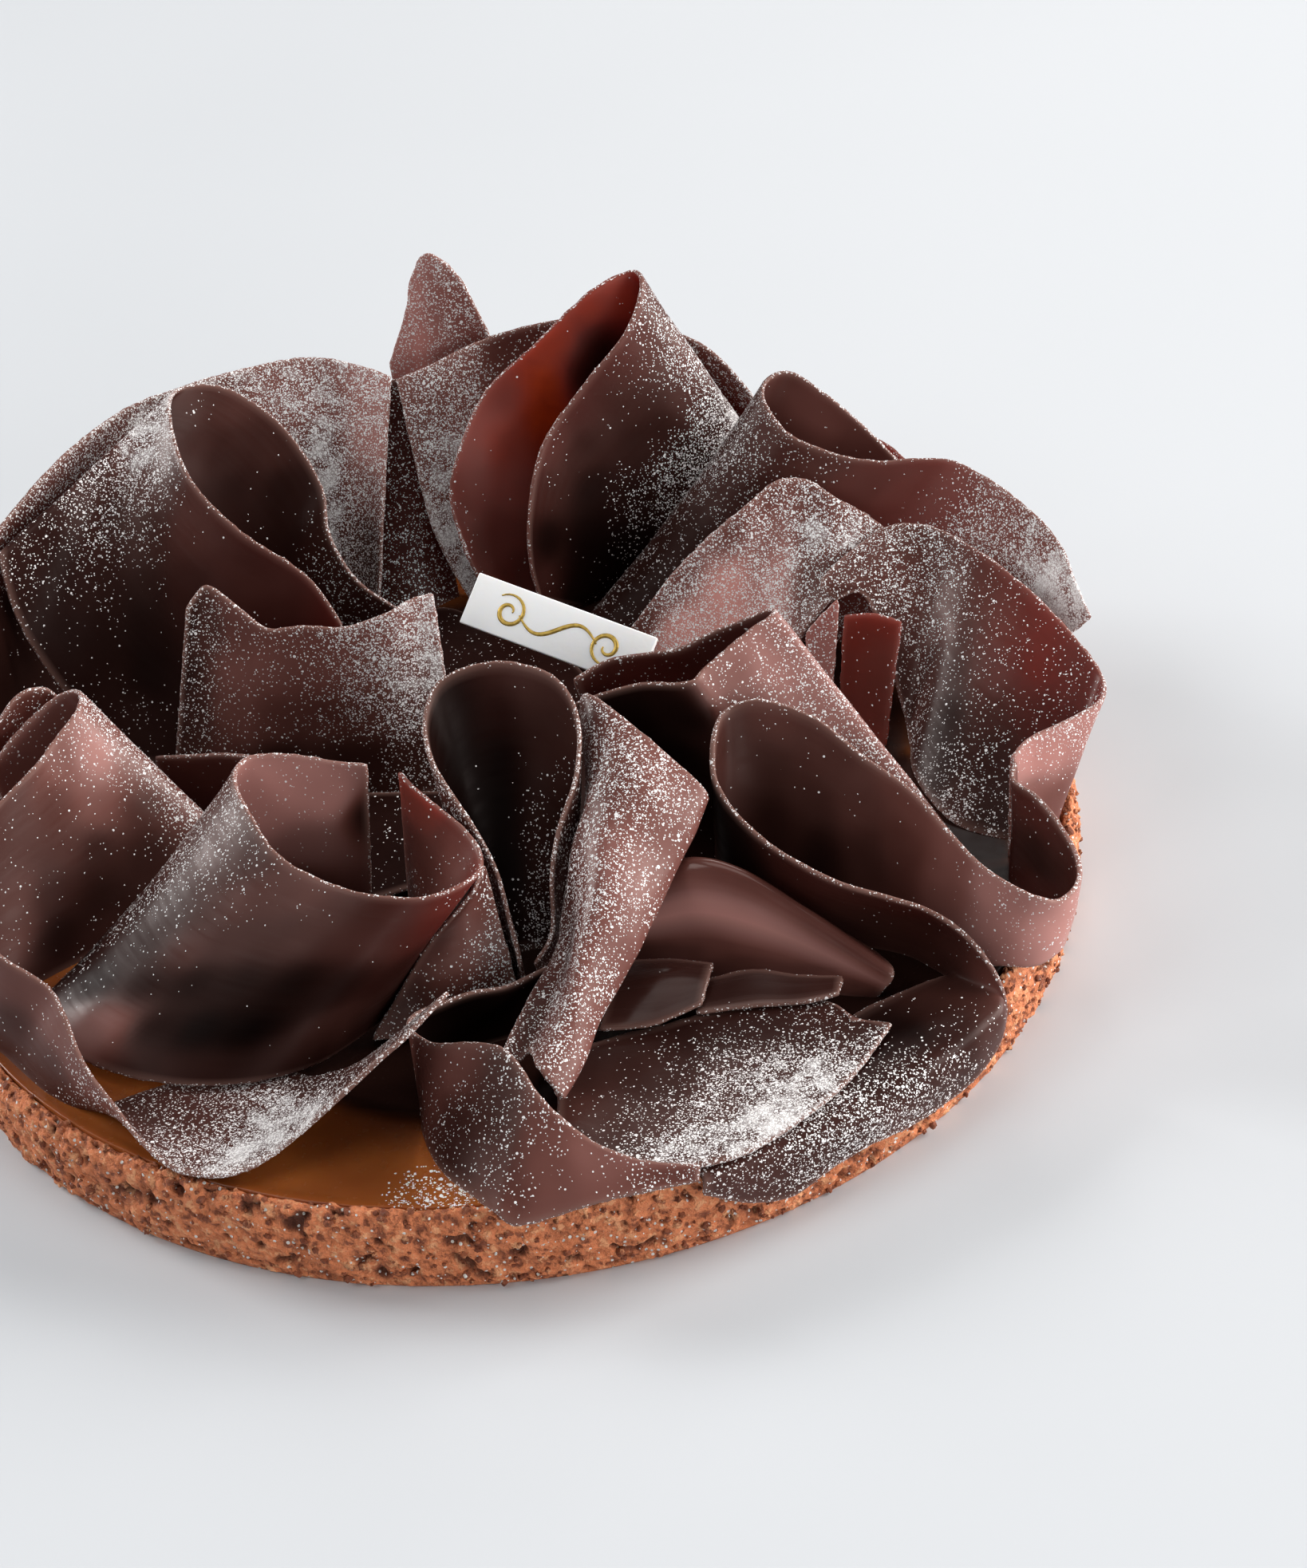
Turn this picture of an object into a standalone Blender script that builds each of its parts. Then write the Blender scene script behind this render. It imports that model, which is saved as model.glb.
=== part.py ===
"""Salted caramel tart, 220 mm across: a baked crumb crust, a level caramel
filling, and thin dark chocolate sheets that stand, roll and fold on it.

Run with: blender --background --python part.py
Places are in millimetres from the tart's centre on the table, x right, y back,
z up, and become metres when a mesh is made.
"""
import math

import bpy
from mathutils import Vector, noise

MM = 0.001

# driving sizes
TART_RADIUS = 110.0
CRUST_HEIGHT = 17.0
BASE_THICKNESS = 4.0
WALL_THICKNESS = 3.6
CARAMEL_LEVEL = 15.4
GAP = 0.3
SHEET_THICKNESS = 1.0
FOOT_LEVEL = 16.2       # where the sheets stand, just clear of the caramel
CRUST_STEPS = 168
CRUMB_DEPTH = 0.75

COLLECTION = "salted_caramel_tart"


# ---------------------------------------------------------------- scene set-up
def clear_scene():
    for item in list(bpy.data.objects):
        bpy.data.objects.remove(item, do_unlink=True)


def make_collection(name):
    group = bpy.data.collections.new(name)
    bpy.context.scene.collection.children.link(group)
    return group


def make_material(name, colour, roughness):
    material = bpy.data.materials.new(name)
    material.use_nodes = True
    shader = material.node_tree.nodes["Principled BSDF"]
    shader.inputs["Base Color"].default_value = (*colour, 1.0)
    shader.inputs["Roughness"].default_value = roughness
    shader.inputs["Metallic"].default_value = 0.0
    return material


def add_object(name, mesh, group, material):
    item = bpy.data.objects.new(name, mesh)
    group.objects.link(item)
    mesh.materials.append(material)
    return item


# --------------------------------------------------------------- turned pieces
def turn(name, outline, steps, group, material):
    """Turn an outline of (radius, height) points about the tart's axis."""
    mesh = bpy.data.meshes.new(name)
    corners = [(radius * MM, 0.0, height * MM) for radius, height in outline]
    mesh.from_pydata(corners, [(i, i + 1) for i in range(len(corners) - 1)], [])
    item = add_object(name, mesh, group, material)
    screw = item.modifiers.new("turn", "SCREW")
    screw.steps = steps
    screw.render_steps = steps
    screw.use_merge_vertices = True
    screw.merge_threshold = 0.00001
    return item


def apply_modifiers(item):
    graph = bpy.context.evaluated_depsgraph_get()
    mesh = bpy.data.meshes.new_from_object(item.evaluated_get(graph))
    item.modifiers.clear()
    item.data = mesh


def crumb_height(place):
    """Relief of the baked crumb at a place: large crags and small grains."""
    crag = noise.noise(place / (9.0 * MM))
    grain = noise.noise(place / (3.4 * MM) + Vector((7.0, 3.0, 5.0)))
    return CRUMB_DEPTH * MM * (0.55 * crag + 0.75 * grain)


def make_crust(group, material):
    """A cup of shortcrust: flat base, upright wall, broken crumb outside."""
    inner = TART_RADIUS - WALL_THICKNESS
    top = CRUST_HEIGHT
    outline = [
        (0.0, BASE_THICKNESS), (inner, BASE_THICKNESS),
        (inner, top - 1.5), (inner + 0.4, top - 0.5), (inner + 1.8, top - 0.1),
        (TART_RADIUS - 1.0, top - 0.7), (TART_RADIUS - 0.2, top - 2.4),
        (TART_RADIUS, top - 5.2), (TART_RADIUS, top - 8.4),
        (TART_RADIUS - 0.1, top - 11.6), (TART_RADIUS - 0.4, top - 14.4),
        (TART_RADIUS - 0.9, 0.8), (TART_RADIUS - 1.6, 0.0), (0.0, 0.0),
    ]
    crust = turn("crust", outline, CRUST_STEPS, group, material)
    apply_modifiers(crust)
    for vertex in crust.data.vertices:
        radius = math.hypot(vertex.co.x, vertex.co.y) / MM
        height = vertex.co.z / MM
        if radius < inner + 0.2 or height < 0.4:
            continue
        outward = Vector((vertex.co.x, vertex.co.y, 0.0)).normalized()
        relief = crumb_height(vertex.co)
        if radius < TART_RADIUS - 1.5:
            vertex.co.z += 0.45 * relief
        else:
            vertex.co += outward * (relief - 0.25 * CRUMB_DEPTH * MM)
    crust.data.shade_flat()
    return crust


def make_caramel(group, material):
    """The set caramel fills the crust, with a slight lift where it meets it."""
    edge = TART_RADIUS - WALL_THICKNESS - GAP
    outline = [
        (0.0, CARAMEL_LEVEL), (edge - 2.5, CARAMEL_LEVEL),
        (edge - 0.6, CARAMEL_LEVEL + 0.15), (edge, CARAMEL_LEVEL + 0.3),
        (edge, BASE_THICKNESS + GAP), (0.0, BASE_THICKNESS + GAP),
    ]
    return turn("caramel", outline, 72, group, material)


# ------------------------------------------------------------ chocolate sheets
def place(point):
    """A point with no height of its own stands on the caramel."""
    if len(point) == 2:
        point = (*point, FOOT_LEVEL)
    return Vector(point) * MM


def smooth_line(points, cuts):
    """Catmull-Rom curve through the points, cut into steps between them."""
    line = []
    last = len(points) - 1
    for i in range(last):
        a = points[max(i - 1, 0)]
        b, c = points[i], points[i + 1]
        d = points[min(i + 2, last)]
        for step in range(cuts):
            t = step / cuts
            line.append(0.5 * (2 * b + (c - a) * t + (2 * a - 5 * b + 4 * c - d) * t ** 2
                               + (3 * b - a - 3 * c + d) * t ** 3))
    line.append(points[-1])
    return line


def make_sheet(name, rows, group, material, along=2, across=2):
    """A thin sheet through rows of points, from its top edge down to its foot."""
    lines = [smooth_line([place(p) for p in row], along) for row in rows]
    columns = [smooth_line(list(column), across) for column in zip(*lines)]
    width, height = len(columns), len(columns[0])
    corners = [point for column in columns for point in column]
    faces = []
    for i in range(width - 1):
        for j in range(height - 1):
            a = i * height + j
            b = a + height
            faces.append((a, b, b + 1))
            faces.append((a, b + 1, a + 1))
    mesh = bpy.data.meshes.new(name)
    mesh.from_pydata(corners, [], faces)
    item = add_object(name, mesh, group, material)
    skin = item.modifiers.new("thickness", "SOLIDIFY")
    skin.thickness = SHEET_THICKNESS * MM
    skin.offset = 0.0
    mesh.shade_smooth()
    return item


# Each sheet: its rows of points from the top edge to the foot, then how many
# steps lie between neighbouring points along it and between its rows.
SHEETS = {
    # the great roll at the back left, open towards the middle
    "roll_back_left": ([
        [(-27, 31, 42), (-33, 37, 50), (-45, 43, 58), (-54, 53, 65), (-58, 68, 70),
         (-57, 78, 71), (-48, 82, 68), (-38, 78, 61), (-31, 70, 51), (-30, 62, 44),
         (-25, 54, 37), (-17, 51, 31)],
        [(-38, 32), (-50, 28), (-63, 27), (-76, 33, 18.5), (-89, 40, 40),
         (-91, 43, 58), (-87, 48, 51), (-79, 51, 34), (-67, 54, 20), (-53, 57),
         (-36, 55), (-20, 46)],
    ], 3, 2),
    # the outer wall behind it
    "wall_back_left": ([
        [(-102, 22, 54), (-98, 37, 58), (-92, 49, 60), (-82, 65, 64), (-70, 82, 65),
         (-58, 90, 65), (-46, 97, 64), (-32, 101, 63), (-22, 99, 61), (-16, 97, 59)],
        [(-100, 20), (-95, 33), (-88, 45), (-79, 57), (-68, 69),
         (-58, 78), (-46, 83), (-36, 81), (-28, 75), (-24, 66)],
    ], 2, 2),
    "leaf_back": ([
        [(-19, 98, 52), (-15, 101, 56), (-11, 98, 52)],
        [(-26, 75), (-17, 73), (-7, 79)],
    ], 2, 2),
    "wall_back": ([
        [(-14, 95, 59), (-7, 96, 61), (0, 98, 63), (10, 100, 65), (22, 101, 66),
         (34, 99, 66), (44, 94, 64), (51, 90, 61), (57, 87, 54), (60, 85, 49)],
        [(-10, 82, 31), (-3, 86, 34), (5, 91, 36), (15, 95, 38), (26, 97, 40),
         (37, 97, 40), (46, 95, 40), (54, 92, 39), (61, 89, 36), (65, 87, 33)],
        [(-3, 74), (4, 80), (12, 87), (22, 91), (32, 92),
         (41, 92), (49, 91), (57, 90, 18.2), (64, 88, 18.2), (70, 86, 18.2)],
    ], 2, 1),
    "petal_back": ([
        [(-16, 109, 56), (-11, 108, 68), (-9, 107, 76), (-5, 105, 82), (0, 105, 77),
         (3, 105, 69), (6, 105, 59)],
        [(-15, 107, 18.2), (-11, 106, 18.2), (-8, 105.5, 18.2), (-5, 105.5, 18.2),
         (-1, 105.5, 18.2), (3, 105.5, 18.2), (7, 105.5, 18.2)],
    ], 2, 2),
    # the tall loop at the back, a drop shape seen from its opening
    "loop_back": ([
        [(11, 61, 24), (10, 61, 34), (11, 63, 44), (15, 69, 55), (24, 75, 64),
         (34, 80, 73), (38, 87, 79), (36, 92, 80), (27, 88, 78), (15, 83, 70),
         (5, 80, 63), (-2, 74, 53), (-5, 72, 43), (-3, 68, 32)],
        [(20, 71), (28, 74), (37, 75.5), (46, 75.5), (55, 75.5),
         (64, 77, 17), (71, 80, 18.4), (66, 82, 18.4), (55, 81.5), (44, 82),
         (33, 82), (23, 79), (12, 74), (2, 67)],
    ], 3, 3),
    # the roll at the back right, which runs on as a wavy sheet round the edge
    "roll_back_right": ([
        [(86, 68, 44), (80, 70, 51), (73, 72, 58), (66, 76, 62), (61, 74, 62),
         (60, 69, 60), (64, 62, 56), (72, 58, 53), (80, 55, 52), (88, 54, 52),
         (95, 52, 52), (101, 46, 51), (106, 38, 50), (110, 32, 48), (113, 26, 45),
         (114, 20, 42), (116, 15, 37)],
        [(74, 66), (64, 69), (52, 70), (40, 69), (28, 66),
         (19, 62), (18, 57), (26, 52), (37, 50), (50, 50),
         (62, 49), (73, 47), (82, 43), (90, 36), (96, 28),
         (100, 21, 17), (107, 17, 28)],
    ], 2, 3),
    "leaf_back_right": ([
        [(78, 78, 44), (83, 75, 45), (88, 71, 42), (91, 67, 38)],
        [(74, 78, 18.2), (80, 72, 18.2), (85, 66, 18.2), (88, 61, 18.2)],
    ], 2, 1),
    "fold_right": ([
        [(29, 46, 24), (38, 47, 35), (46, 47, 43), (53, 48, 48), (60, 52, 51),
         (66, 52, 51), (71, 48, 49), (76, 45.5, 46.5), (80, 43, 44)],
        [(34, 38), (40, 34), (46, 31, 16.6), (52, 29, 18), (58, 27.5, 25),
         (63, 29.5, 31.5), (68, 31, 36.5), (73.5, 35, 39.5), (79, 40, 41.5)],
    ], 2, 3),
    "leaf_right": ([
        [(70.5, 25, 36), (75.5, 23, 37), (80.5, 21, 36)],
        [(67.5, 16), (71.5, 13), (75.5, 10)],
    ], 2, 1),
    "leaf_right_pale": ([
        [(63, 24.5, 33.5), (66, 24.5, 37), (69, 24.8, 39.8)],
        [(61, 18), (63, 17.8), (65.3, 17.5)],
    ], 2, 1),
    # the outer sheet on the right, folded back on itself at its tip
    "wall_right": ([
        [(79.5, 40.8, 44.8), (84, 40, 46), (90, 37, 46), (97, 29, 45), (103, 21, 43),
         (108, 12, 41), (113, 2, 38), (115, -5, 36), (113, -12, 36), (106, -17, 36),
         (99, -21, 36), (95, -26, 36)],
        [(67.3, 31, 41.5), (76, 30.5, 40.5), (85.5, 24.5, 33), (89, 13, 31), (93, 4, 29.6),
         (98, -3.5, 28.6), (104.2, -10.5, 27), (108, -13, 26), (107.7, -17.3, 26),
         (103.5, -20.8, 26), (98.5, -23.7, 26), (94.5, -27, 26)],
        [(68.8, 28, 38.5), (75.5, 27, 37.8), (80.5, 11, 18), (80, -3, 17.6), (83, -13, 16.6),
         (88, -19), (95.5, -23), (101, -21), (102.5, -22.5), (101, -24.5),
         (98, -26.3), (94, -28)],
    ], 2, 2),
    # the long ribbon that loops twice and lies down over the crust at its end
    "ribbon_right": ([
        [(95, -28, 36), (94, -33, 36), (97, -38, 36), (100, -45, 35), (102, -53, 33),
         (101, -59, 32), (97, -63, 32), (92, -63, 34), (86, -57, 35), (81, -49, 37),
         (75, -38, 40), (67, -30, 43), (60, -25, 48), (51, -22, 51), (45, -22, 50),
         (42, -26, 48), (41, -33, 43), (44, -40, 40), (50, -48, 38), (59, -56, 36),
         (67, -59, 34), (75, -61, 31), (81, -64, 27), (86, -69, 20), (86, -73, 15),
         (83, -77, 11), (77, -82.5, 9), (67, -91, 10), (60, -95.5, 11), (53, -99, 10),
         (46, -102.5, 8), (39, -105, 10), (32, -107.5, 15)],
        [(95, -29, 27), (94, -34, 27), (96, -40, 27), (98, -46, 26), (101, -54, 26),
         (100, -60, 26), (96, -63, 26), (91, -63, 27), (85, -58, 27), (79, -50, 28),
         (73, -42, 29), (65, -36, 31), (58, -31, 33), (50, -28, 34), (44, -28, 34),
         (41, -31, 32), (41, -37, 30), (44, -42, 29), (51, -46, 28), (58, -51, 27),
         (66, -54, 26), (74, -57, 25), (79, -61, 23), (83, -67, 19), (84.5, -72, 18.4),
         (81, -76.5, 18.3), (75.5, -82, 18.3), (66, -89.8, 18.3), (59, -94.5, 18.3),
         (52, -98.4, 18.3), (45, -101.8, 18.3), (38, -104.6, 18.3), (32, -106.6, 18.4)],
        [(94, -31), (93, -35), (94, -40, 17.4), (96, -46, 18.3), (99, -54, 18.6),
         (98, -60, 19.4), (93, -64, 19.6), (88, -62, 18.6), (82, -57),
         (76, -51), (71, -46), (63, -41), (56, -37), (49, -34), (44, -34),
         (40, -36), (41, -40), (45, -42), (51, -44), (58, -47),
         (66, -50), (73, -54), (78, -60), (77, -62.5, 17), (73, -64.5, 17.4),
         (68, -67, 17.6), (61, -71, 17.8), (56, -76, 17.8), (51, -81, 17.9),
         (46, -86, 17.9), (40, -90, 17.9), (35, -93, 17.9), (31, -96, 17.9)],
    ], 2, 1),
    # the folded sheet beside the middle, two leaves that meet in a long ridge
    "fold_middle": ([
        [(18, -2, 46), (24, 0, 48), (31, -2, 50), (37, -3, 51), (43, -2, 53),
         (49, -2, 55), (54, -3, 57.5), (55, -5, 58), (50, -8, 56.5), (42, -14, 54),
         (38, -17, 53), (29, -13, 51), (18, -11, 47)],
        [(24, 0), (31, 0), (38, -2), (47, -5), (57, -9),
         (70, -17), (86, -30), (87, -33), (77, -33), (65, -31), (54, -29),
         (42, -24), (30, -18)],
    ], 3, 2),
    "loop_middle": ([
        [(4, -57, 25), (3, -52, 31), (1, -45, 38), (-3, -38, 44), (-8, -30, 50),
         (-9, -22, 54), (-6, -15, 57), (1, -12, 58), (8, -13, 58), (15, -18, 57),
         (18, -25, 53), (17, -34, 48), (13, -42, 42), (11, -48, 36), (10, -54, 29),
         (7, -58, 26)],
        [(4, -54), (3, -52), (1, -50), (0, -48), (-1, -46),
         (0, -44), (2, -42), (5, -41), (8, -41), (11, -42),
         (13, -44), (13, -46), (12, -48), (11, -50), (10, -52),
         (8, -54)],
    ], 2, 3),
    # the long rounded band in front of the middle, lying on its neighbours
    "band_middle": ([
        [(18.8, -16, 49), (18.7, -30, 44), (17.6, -38, 40.5), (14.5, -45.5, 36),
         (12.5, -52, 31), (11, -58, 28.5), (5.5, -70, 27.5), (1.2, -79.8, 26),
         (-1, -86.5, 24.5)],
        [(20.5, -16.5, 52), (21, -31, 48), (19, -39, 45), (16, -46, 41), (15, -52, 36),
         (14, -58, 32), (11, -66, 29), (8, -73, 27), (5, -80, 25)],
        [(30, -29, 50), (28, -39, 48), (24, -47, 45), (21, -55, 42), (18, -62, 38),
         (15, -69, 35), (13, -75, 32), (10, -81, 29), (7, -87, 27)],
        [(39, -37, 43), (36, -44, 40), (32, -50, 37), (28, -57, 34), (25, -63, 32),
         (21, -69, 29), (17, -76, 27), (14, -83, 25), (10, -90, 23.4)],
        [(35, -36, 40), (32, -42, 37), (29, -48, 34), (25, -55, 31), (22, -61, 29),
         (18, -67, 27), (15, -74, 25.5), (12, -81, 24), (9, -88, 22.8)],
    ], 2, 2),
    "saddle_middle": ([
        [(-55, 28, 51), (-51, 30, 54), (-46, 26, 52), (-40, 21, 49), (-33, 19, 50),
         (-25, 17, 50), (-17, 17, 52), (-11, 20, 53), (-8, 21, 53)],
        [(-63, 20), (-58, 18), (-51, 16), (-43, 14), (-35, 13),
         (-27, 11), (-19, 10), (-12, 10), (-7, 11)],
    ], 2, 3),
    "roll_left": ([
        [(-93, -30, 42), (-86, -22, 46), (-81, -17, 48), (-77, -11, 50), (-73, -5, 52),
         (-73, 1, 52), (-77, 4, 50), (-84, 0, 47), (-91, -6, 42)],
        [(-96, -41), (-90, -40), (-80, -33), (-67, -24), (-54, -15),
         (-46, -9), (-56, -2), (-70, -2), (-86, -8)],
    ], 2, 3),
    "petal_left": ([
        [(-94, -2, 44), (-89, 0, 48), (-85, 4, 51), (-81, 7, 50), (-79, 8, 47)],
        [(-96, 8), (-91, 10), (-86, 11), (-80, 11), (-75, 11)],
    ], 2, 1),
    "leaf_left": ([
        [(-63, 8, 31), (-57, 6, 32), (-50, 4, 33), (-44, 1, 34)],
        [(-63, 8), (-57, 7), (-50, 5), (-43, 3)],
    ], 1, 1),
    # the wide cup at the front left
    "cup_front_left": ([
        [(-20, -28, 50), (-26, -26, 50), (-33, -23, 50), (-40, -22, 50), (-43, -25, 50),
         (-43, -31, 50), (-40, -39, 49), (-36, -47, 47), (-31, -52, 46), (-25, -56, 45),
         (-18, -59, 44.5), (-11, -60, 44), (-5, -58, 44), (-1, -54, 44), (-1, -48, 44),
         (-4, -42, 45), (-8, -37, 46), (-12, -32, 47), (-14, -29, 48)],
        [(-24, -30), (-33, -30), (-46, -30), (-60, -32), (-72, -35),
         (-80, -39), (-83, -46, 17), (-80, -54, 17.5), (-74, -61, 17.8), (-65, -67, 17.8),
         (-54, -71, 17.8), (-43, -72, 18), (-34, -70, 18.2), (-27, -65, 18),
         (-21, -58, 17.4), (-18, -50), (-17, -43), (-16, -37), (-16, -32)],
    ], 2, 2),
    # the wavy ribbon that cradles the cup and rests on the crust
    "ribbon_front_left": ([
        [(-91, -47, 39), (-85, -54, 36), (-77, -59, 32), (-74, -65, 30), (-71, -72, 26),
         (-67, -78, 23), (-63, -84, 21), (-59, -89, 19.5), (-54, -94, 19), (-47, -96, 19),
         (-41, -95, 19.8), (-34, -93, 23.5), (-26, -92, 30), (-19, -90, 35), (-14, -88, 38),
         (-7, -83, 42)],
        [(-94, -47), (-91, -52), (-87, -57), (-83, -62.5), (-79, -67),
         (-74, -71), (-69, -72), (-63, -70), (-57, -68), (-50, -67),
         (-44, -67), (-39, -67.5), (-36, -69), (-34, -71), (-32, -73),
         (-30, -75)],
    ], 2, 3),
    # a small leaf whose skirt hangs between the cup, the loop and the front ribbon
    "leaf_front": ([
        [(-2.1, -53, 39.5), (-1.5, -50, 39.6), (-0.8, -46.5, 39)],
        [(-11.3, -57, 31), (-5, -56, 32), (0.8, -52, 32)],
        [(-17, -60.5, 24), (-7.5, -60, 25), (2, -56.2, 25.5)],
        [(-22.5, -63.5, 17.3), (-9, -63, 17), (3, -59, 17)],
    ], 2, 2),
    # the ribbon at the front: a curled wall that leans over the crust
    "ribbon_front": ([
        [(9, -61, 27), (2, -66, 28), (-4, -68, 29), (-9, -70, 29), (-14, -74, 30),
         (-14, -79, 31), (-10, -84, 32), (-4, -87, 34), (1, -90, 35), (4, -94, 34),
         (6, -98, 32), (9, -101, 29.5), (13, -103.5, 26.5), (17, -105.5, 24.5),
         (23, -107, 22.5), (31, -107.5, 21)],
        [(9, -60), (2, -64), (-4, -66), (-9, -69), (-13, -75),
         (-14, -83), (-13, -92, 17.5), (-10, -100, 18.4), (-6, -106, 19.4), (-2, -111, 19.5),
         (1, -113, 17.8), (7, -112.5, 18.4), (13, -112, 19.6), (19, -111, 20),
         (25, -110, 19.8), (31, -108.8, 19.4)],
    ], 2, 3),
    # its floor, flat on the caramel and the crust
    "floor_front": ([
        [(9, -95, 19.6), (15, -100, 19.8), (22, -104, 20), (29, -106, 20),
         (36, -105.6, 20), (43, -102, 20), (49, -97.5, 20), (55, -92, 20),
         (61, -84.5, 20), (66, -77, 20.2)],
        [(10, -74, 17.8), (15, -72, 17.8), (21, -70, 17.8), (27, -69, 17.8),
         (33, -68, 18.2), (40, -67, 18.6), (46, -67, 19), (52, -67, 19.4),
         (57, -70, 19.8), (60, -75, 20.2)],
    ], 2, 3),
    # low leaves that lie on the caramel between the standing sheets
    "leaf_floor_back": ([
        [(-18, 68, 18.2), (-10, 71, 17.4), (-3, 67, 17), (11, 57, 17.6)],
        [(-12, 49, 17.2), (-3, 47, 18), (7, 43, 18.8), (19, 38, 18.4)],
        [(-6, 30, 17.5), (3, 28, 17), (13, 26, 17.4), (24, 24, 18.5)],
    ], 2, 2),
    "leaf_floor_middle": ([
        [(-42, 9, 17), (-32, 8, 18), (-20, 6, 18.4), (-6, 6, 17.2)],
        [(-44, -24, 17.4), (-33, -25, 17), (-21, -24, 17.6), (-8, -20, 18.4)],
    ], 2, 3),
    # the glossy cone that lies under the long ribbon
    "cone_right": ([
        [(24, -40, 27), (30, -41, 30), (36, -43, 32), (43, -46, 31.5), (50, -50.5, 28.5),
         (58, -54.5, 25), (66, -58.8, 20.8)],
        [(23, -45, 28.5), (29, -46.5, 32), (36, -48.5, 35.5), (44, -51.5, 34.5),
         (52, -55.5, 30.5), (60, -60, 26), (68, -64.3, 21)],
        [(22, -49), (28, -51.5), (36, -54), (44, -57), (52, -59.5), (59, -61.8),
         (65, -63.5)],
    ], 2, 2),
    # broken plates on the floor in front of the cone
    "plate_middle": ([
        [(23, -56, 22.5), (30, -57.5, 23), (37, -59.5, 22.8)],
        [(20, -62, 22.4), (28, -63, 23.4), (36, -63, 22.6)],
        [(17, -70, 19.8), (26, -70, 19.8), (34.5, -67.5, 21.2)],
    ], 2, 2),
    "plate_right": ([
        [(35, -61, 20.4), (44, -61.5, 22), (52, -64, 21.8), (59, -65, 21.4)],
        [(34, -68, 19.7), (44, -68.5, 20.4), (52, -69.5, 20.9), (58, -69, 21.4)],
    ], 2, 1),
}


def make_plaque(group, material):
    """A thin white chocolate plaque that leans back between two sheets."""
    left_top = Vector((1.0, 35.0, 48.0))
    right_top = Vector((34.0, 18.0, 40.0))
    lean = Vector((-5.0, -6.0, -7.0))
    run = right_top - left_top
    centre = (left_top + run / 2 + lean / 2) * MM
    along = run.normalized()
    normal = along.cross(lean).normalized()
    down = normal.cross(along)
    bpy.ops.mesh.primitive_cube_add(size=1.0)
    plaque = bpy.context.active_object
    plaque.name = "plaque"
    mesh = plaque.data
    size = Vector((run.length, lean.length, 1.2)) * MM
    for vertex in mesh.vertices:
        x, y, z = (vertex.co[i] * size[i] for i in range(3))
        vertex.co = centre + along * x + down * y + normal * z
    for owner in list(plaque.users_collection):
        owner.objects.unlink(plaque)
    group.objects.link(plaque)
    mesh.materials.append(material)
    edge = plaque.modifiers.new("soft edge", "BEVEL")
    edge.width = 0.25 * MM
    edge.segments = 1
    return plaque


def main():
    clear_scene()
    group = make_collection(COLLECTION)
    crumb = make_material("baked_crumb", (0.33, 0.12, 0.045), 0.85)
    caramel = make_material("caramel", (0.30, 0.11, 0.012), 0.2)
    white = make_material("white_chocolate", (0.86, 0.86, 0.82), 0.45)
    make_crust(group, crumb)
    make_caramel(group, caramel)
    for name, (rows, along, across) in SHEETS.items():
        chocolate = make_material("chocolate_" + name, (0.045, 0.018, 0.013), 0.4)
        make_sheet(name, rows, group, chocolate, along, across)
    make_plaque(group, white)


main()
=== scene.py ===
"""Looks of the salted caramel tart: chocolate sheets dusted with sugar, crumb
crust, caramel and plaque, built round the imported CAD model.

Places in the tables are in millimetres, as in the CAD source: x right, y back,
z up, from the tart's centre on the table. Meshes are in metres.
"""
import math

import bpy
import bmesh
import numpy as np
from mathutils import Matrix, Vector, noise


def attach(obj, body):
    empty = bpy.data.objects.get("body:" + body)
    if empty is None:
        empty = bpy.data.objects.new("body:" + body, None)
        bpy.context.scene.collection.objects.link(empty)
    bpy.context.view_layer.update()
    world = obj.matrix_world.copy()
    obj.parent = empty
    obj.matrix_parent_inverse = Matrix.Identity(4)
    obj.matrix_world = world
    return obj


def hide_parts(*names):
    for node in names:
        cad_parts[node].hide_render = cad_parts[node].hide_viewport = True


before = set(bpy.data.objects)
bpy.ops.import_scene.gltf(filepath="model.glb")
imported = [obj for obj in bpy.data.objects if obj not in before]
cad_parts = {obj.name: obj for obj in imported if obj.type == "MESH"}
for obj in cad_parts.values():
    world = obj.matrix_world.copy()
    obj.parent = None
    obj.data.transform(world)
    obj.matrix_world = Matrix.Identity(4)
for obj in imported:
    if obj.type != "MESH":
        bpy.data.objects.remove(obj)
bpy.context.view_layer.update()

MM = 0.001

# sizes repeated from the CAD source, in millimetres
TART_RADIUS = 110.0
CRUST_HEIGHT = 17.0
BASE_THICKNESS = 4.0
WALL_THICKNESS = 3.6
CARAMEL_LEVEL = 15.4
GAP = 0.3
SHEET_THICKNESS = 1.0
FOOT_LEVEL = 16.2
CRUMB_DEPTH = 0.75
INNER_RADIUS = TART_RADIUS - WALL_THICKNESS

GRID_STEP = 1.1         # distance between the lines of a sheet's mesh
SINK = 0.9              # how far a foot goes into the caramel
RIM_WIDTH = 1.1         # how far the worn rim reaches into a sheet
PLACE_BLUR = 3.5        # how softly one place of a look runs into the next
CRUST_STEP = 0.48       # distance between the crust's rows
CRUST_STEPS = 1400      # points round the crust
CARAMEL_STEPS = 360     # points round the caramel
CRUMB_COUNT = 1500
GRAIN_COUNT = 20000
SEED = 7

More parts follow.
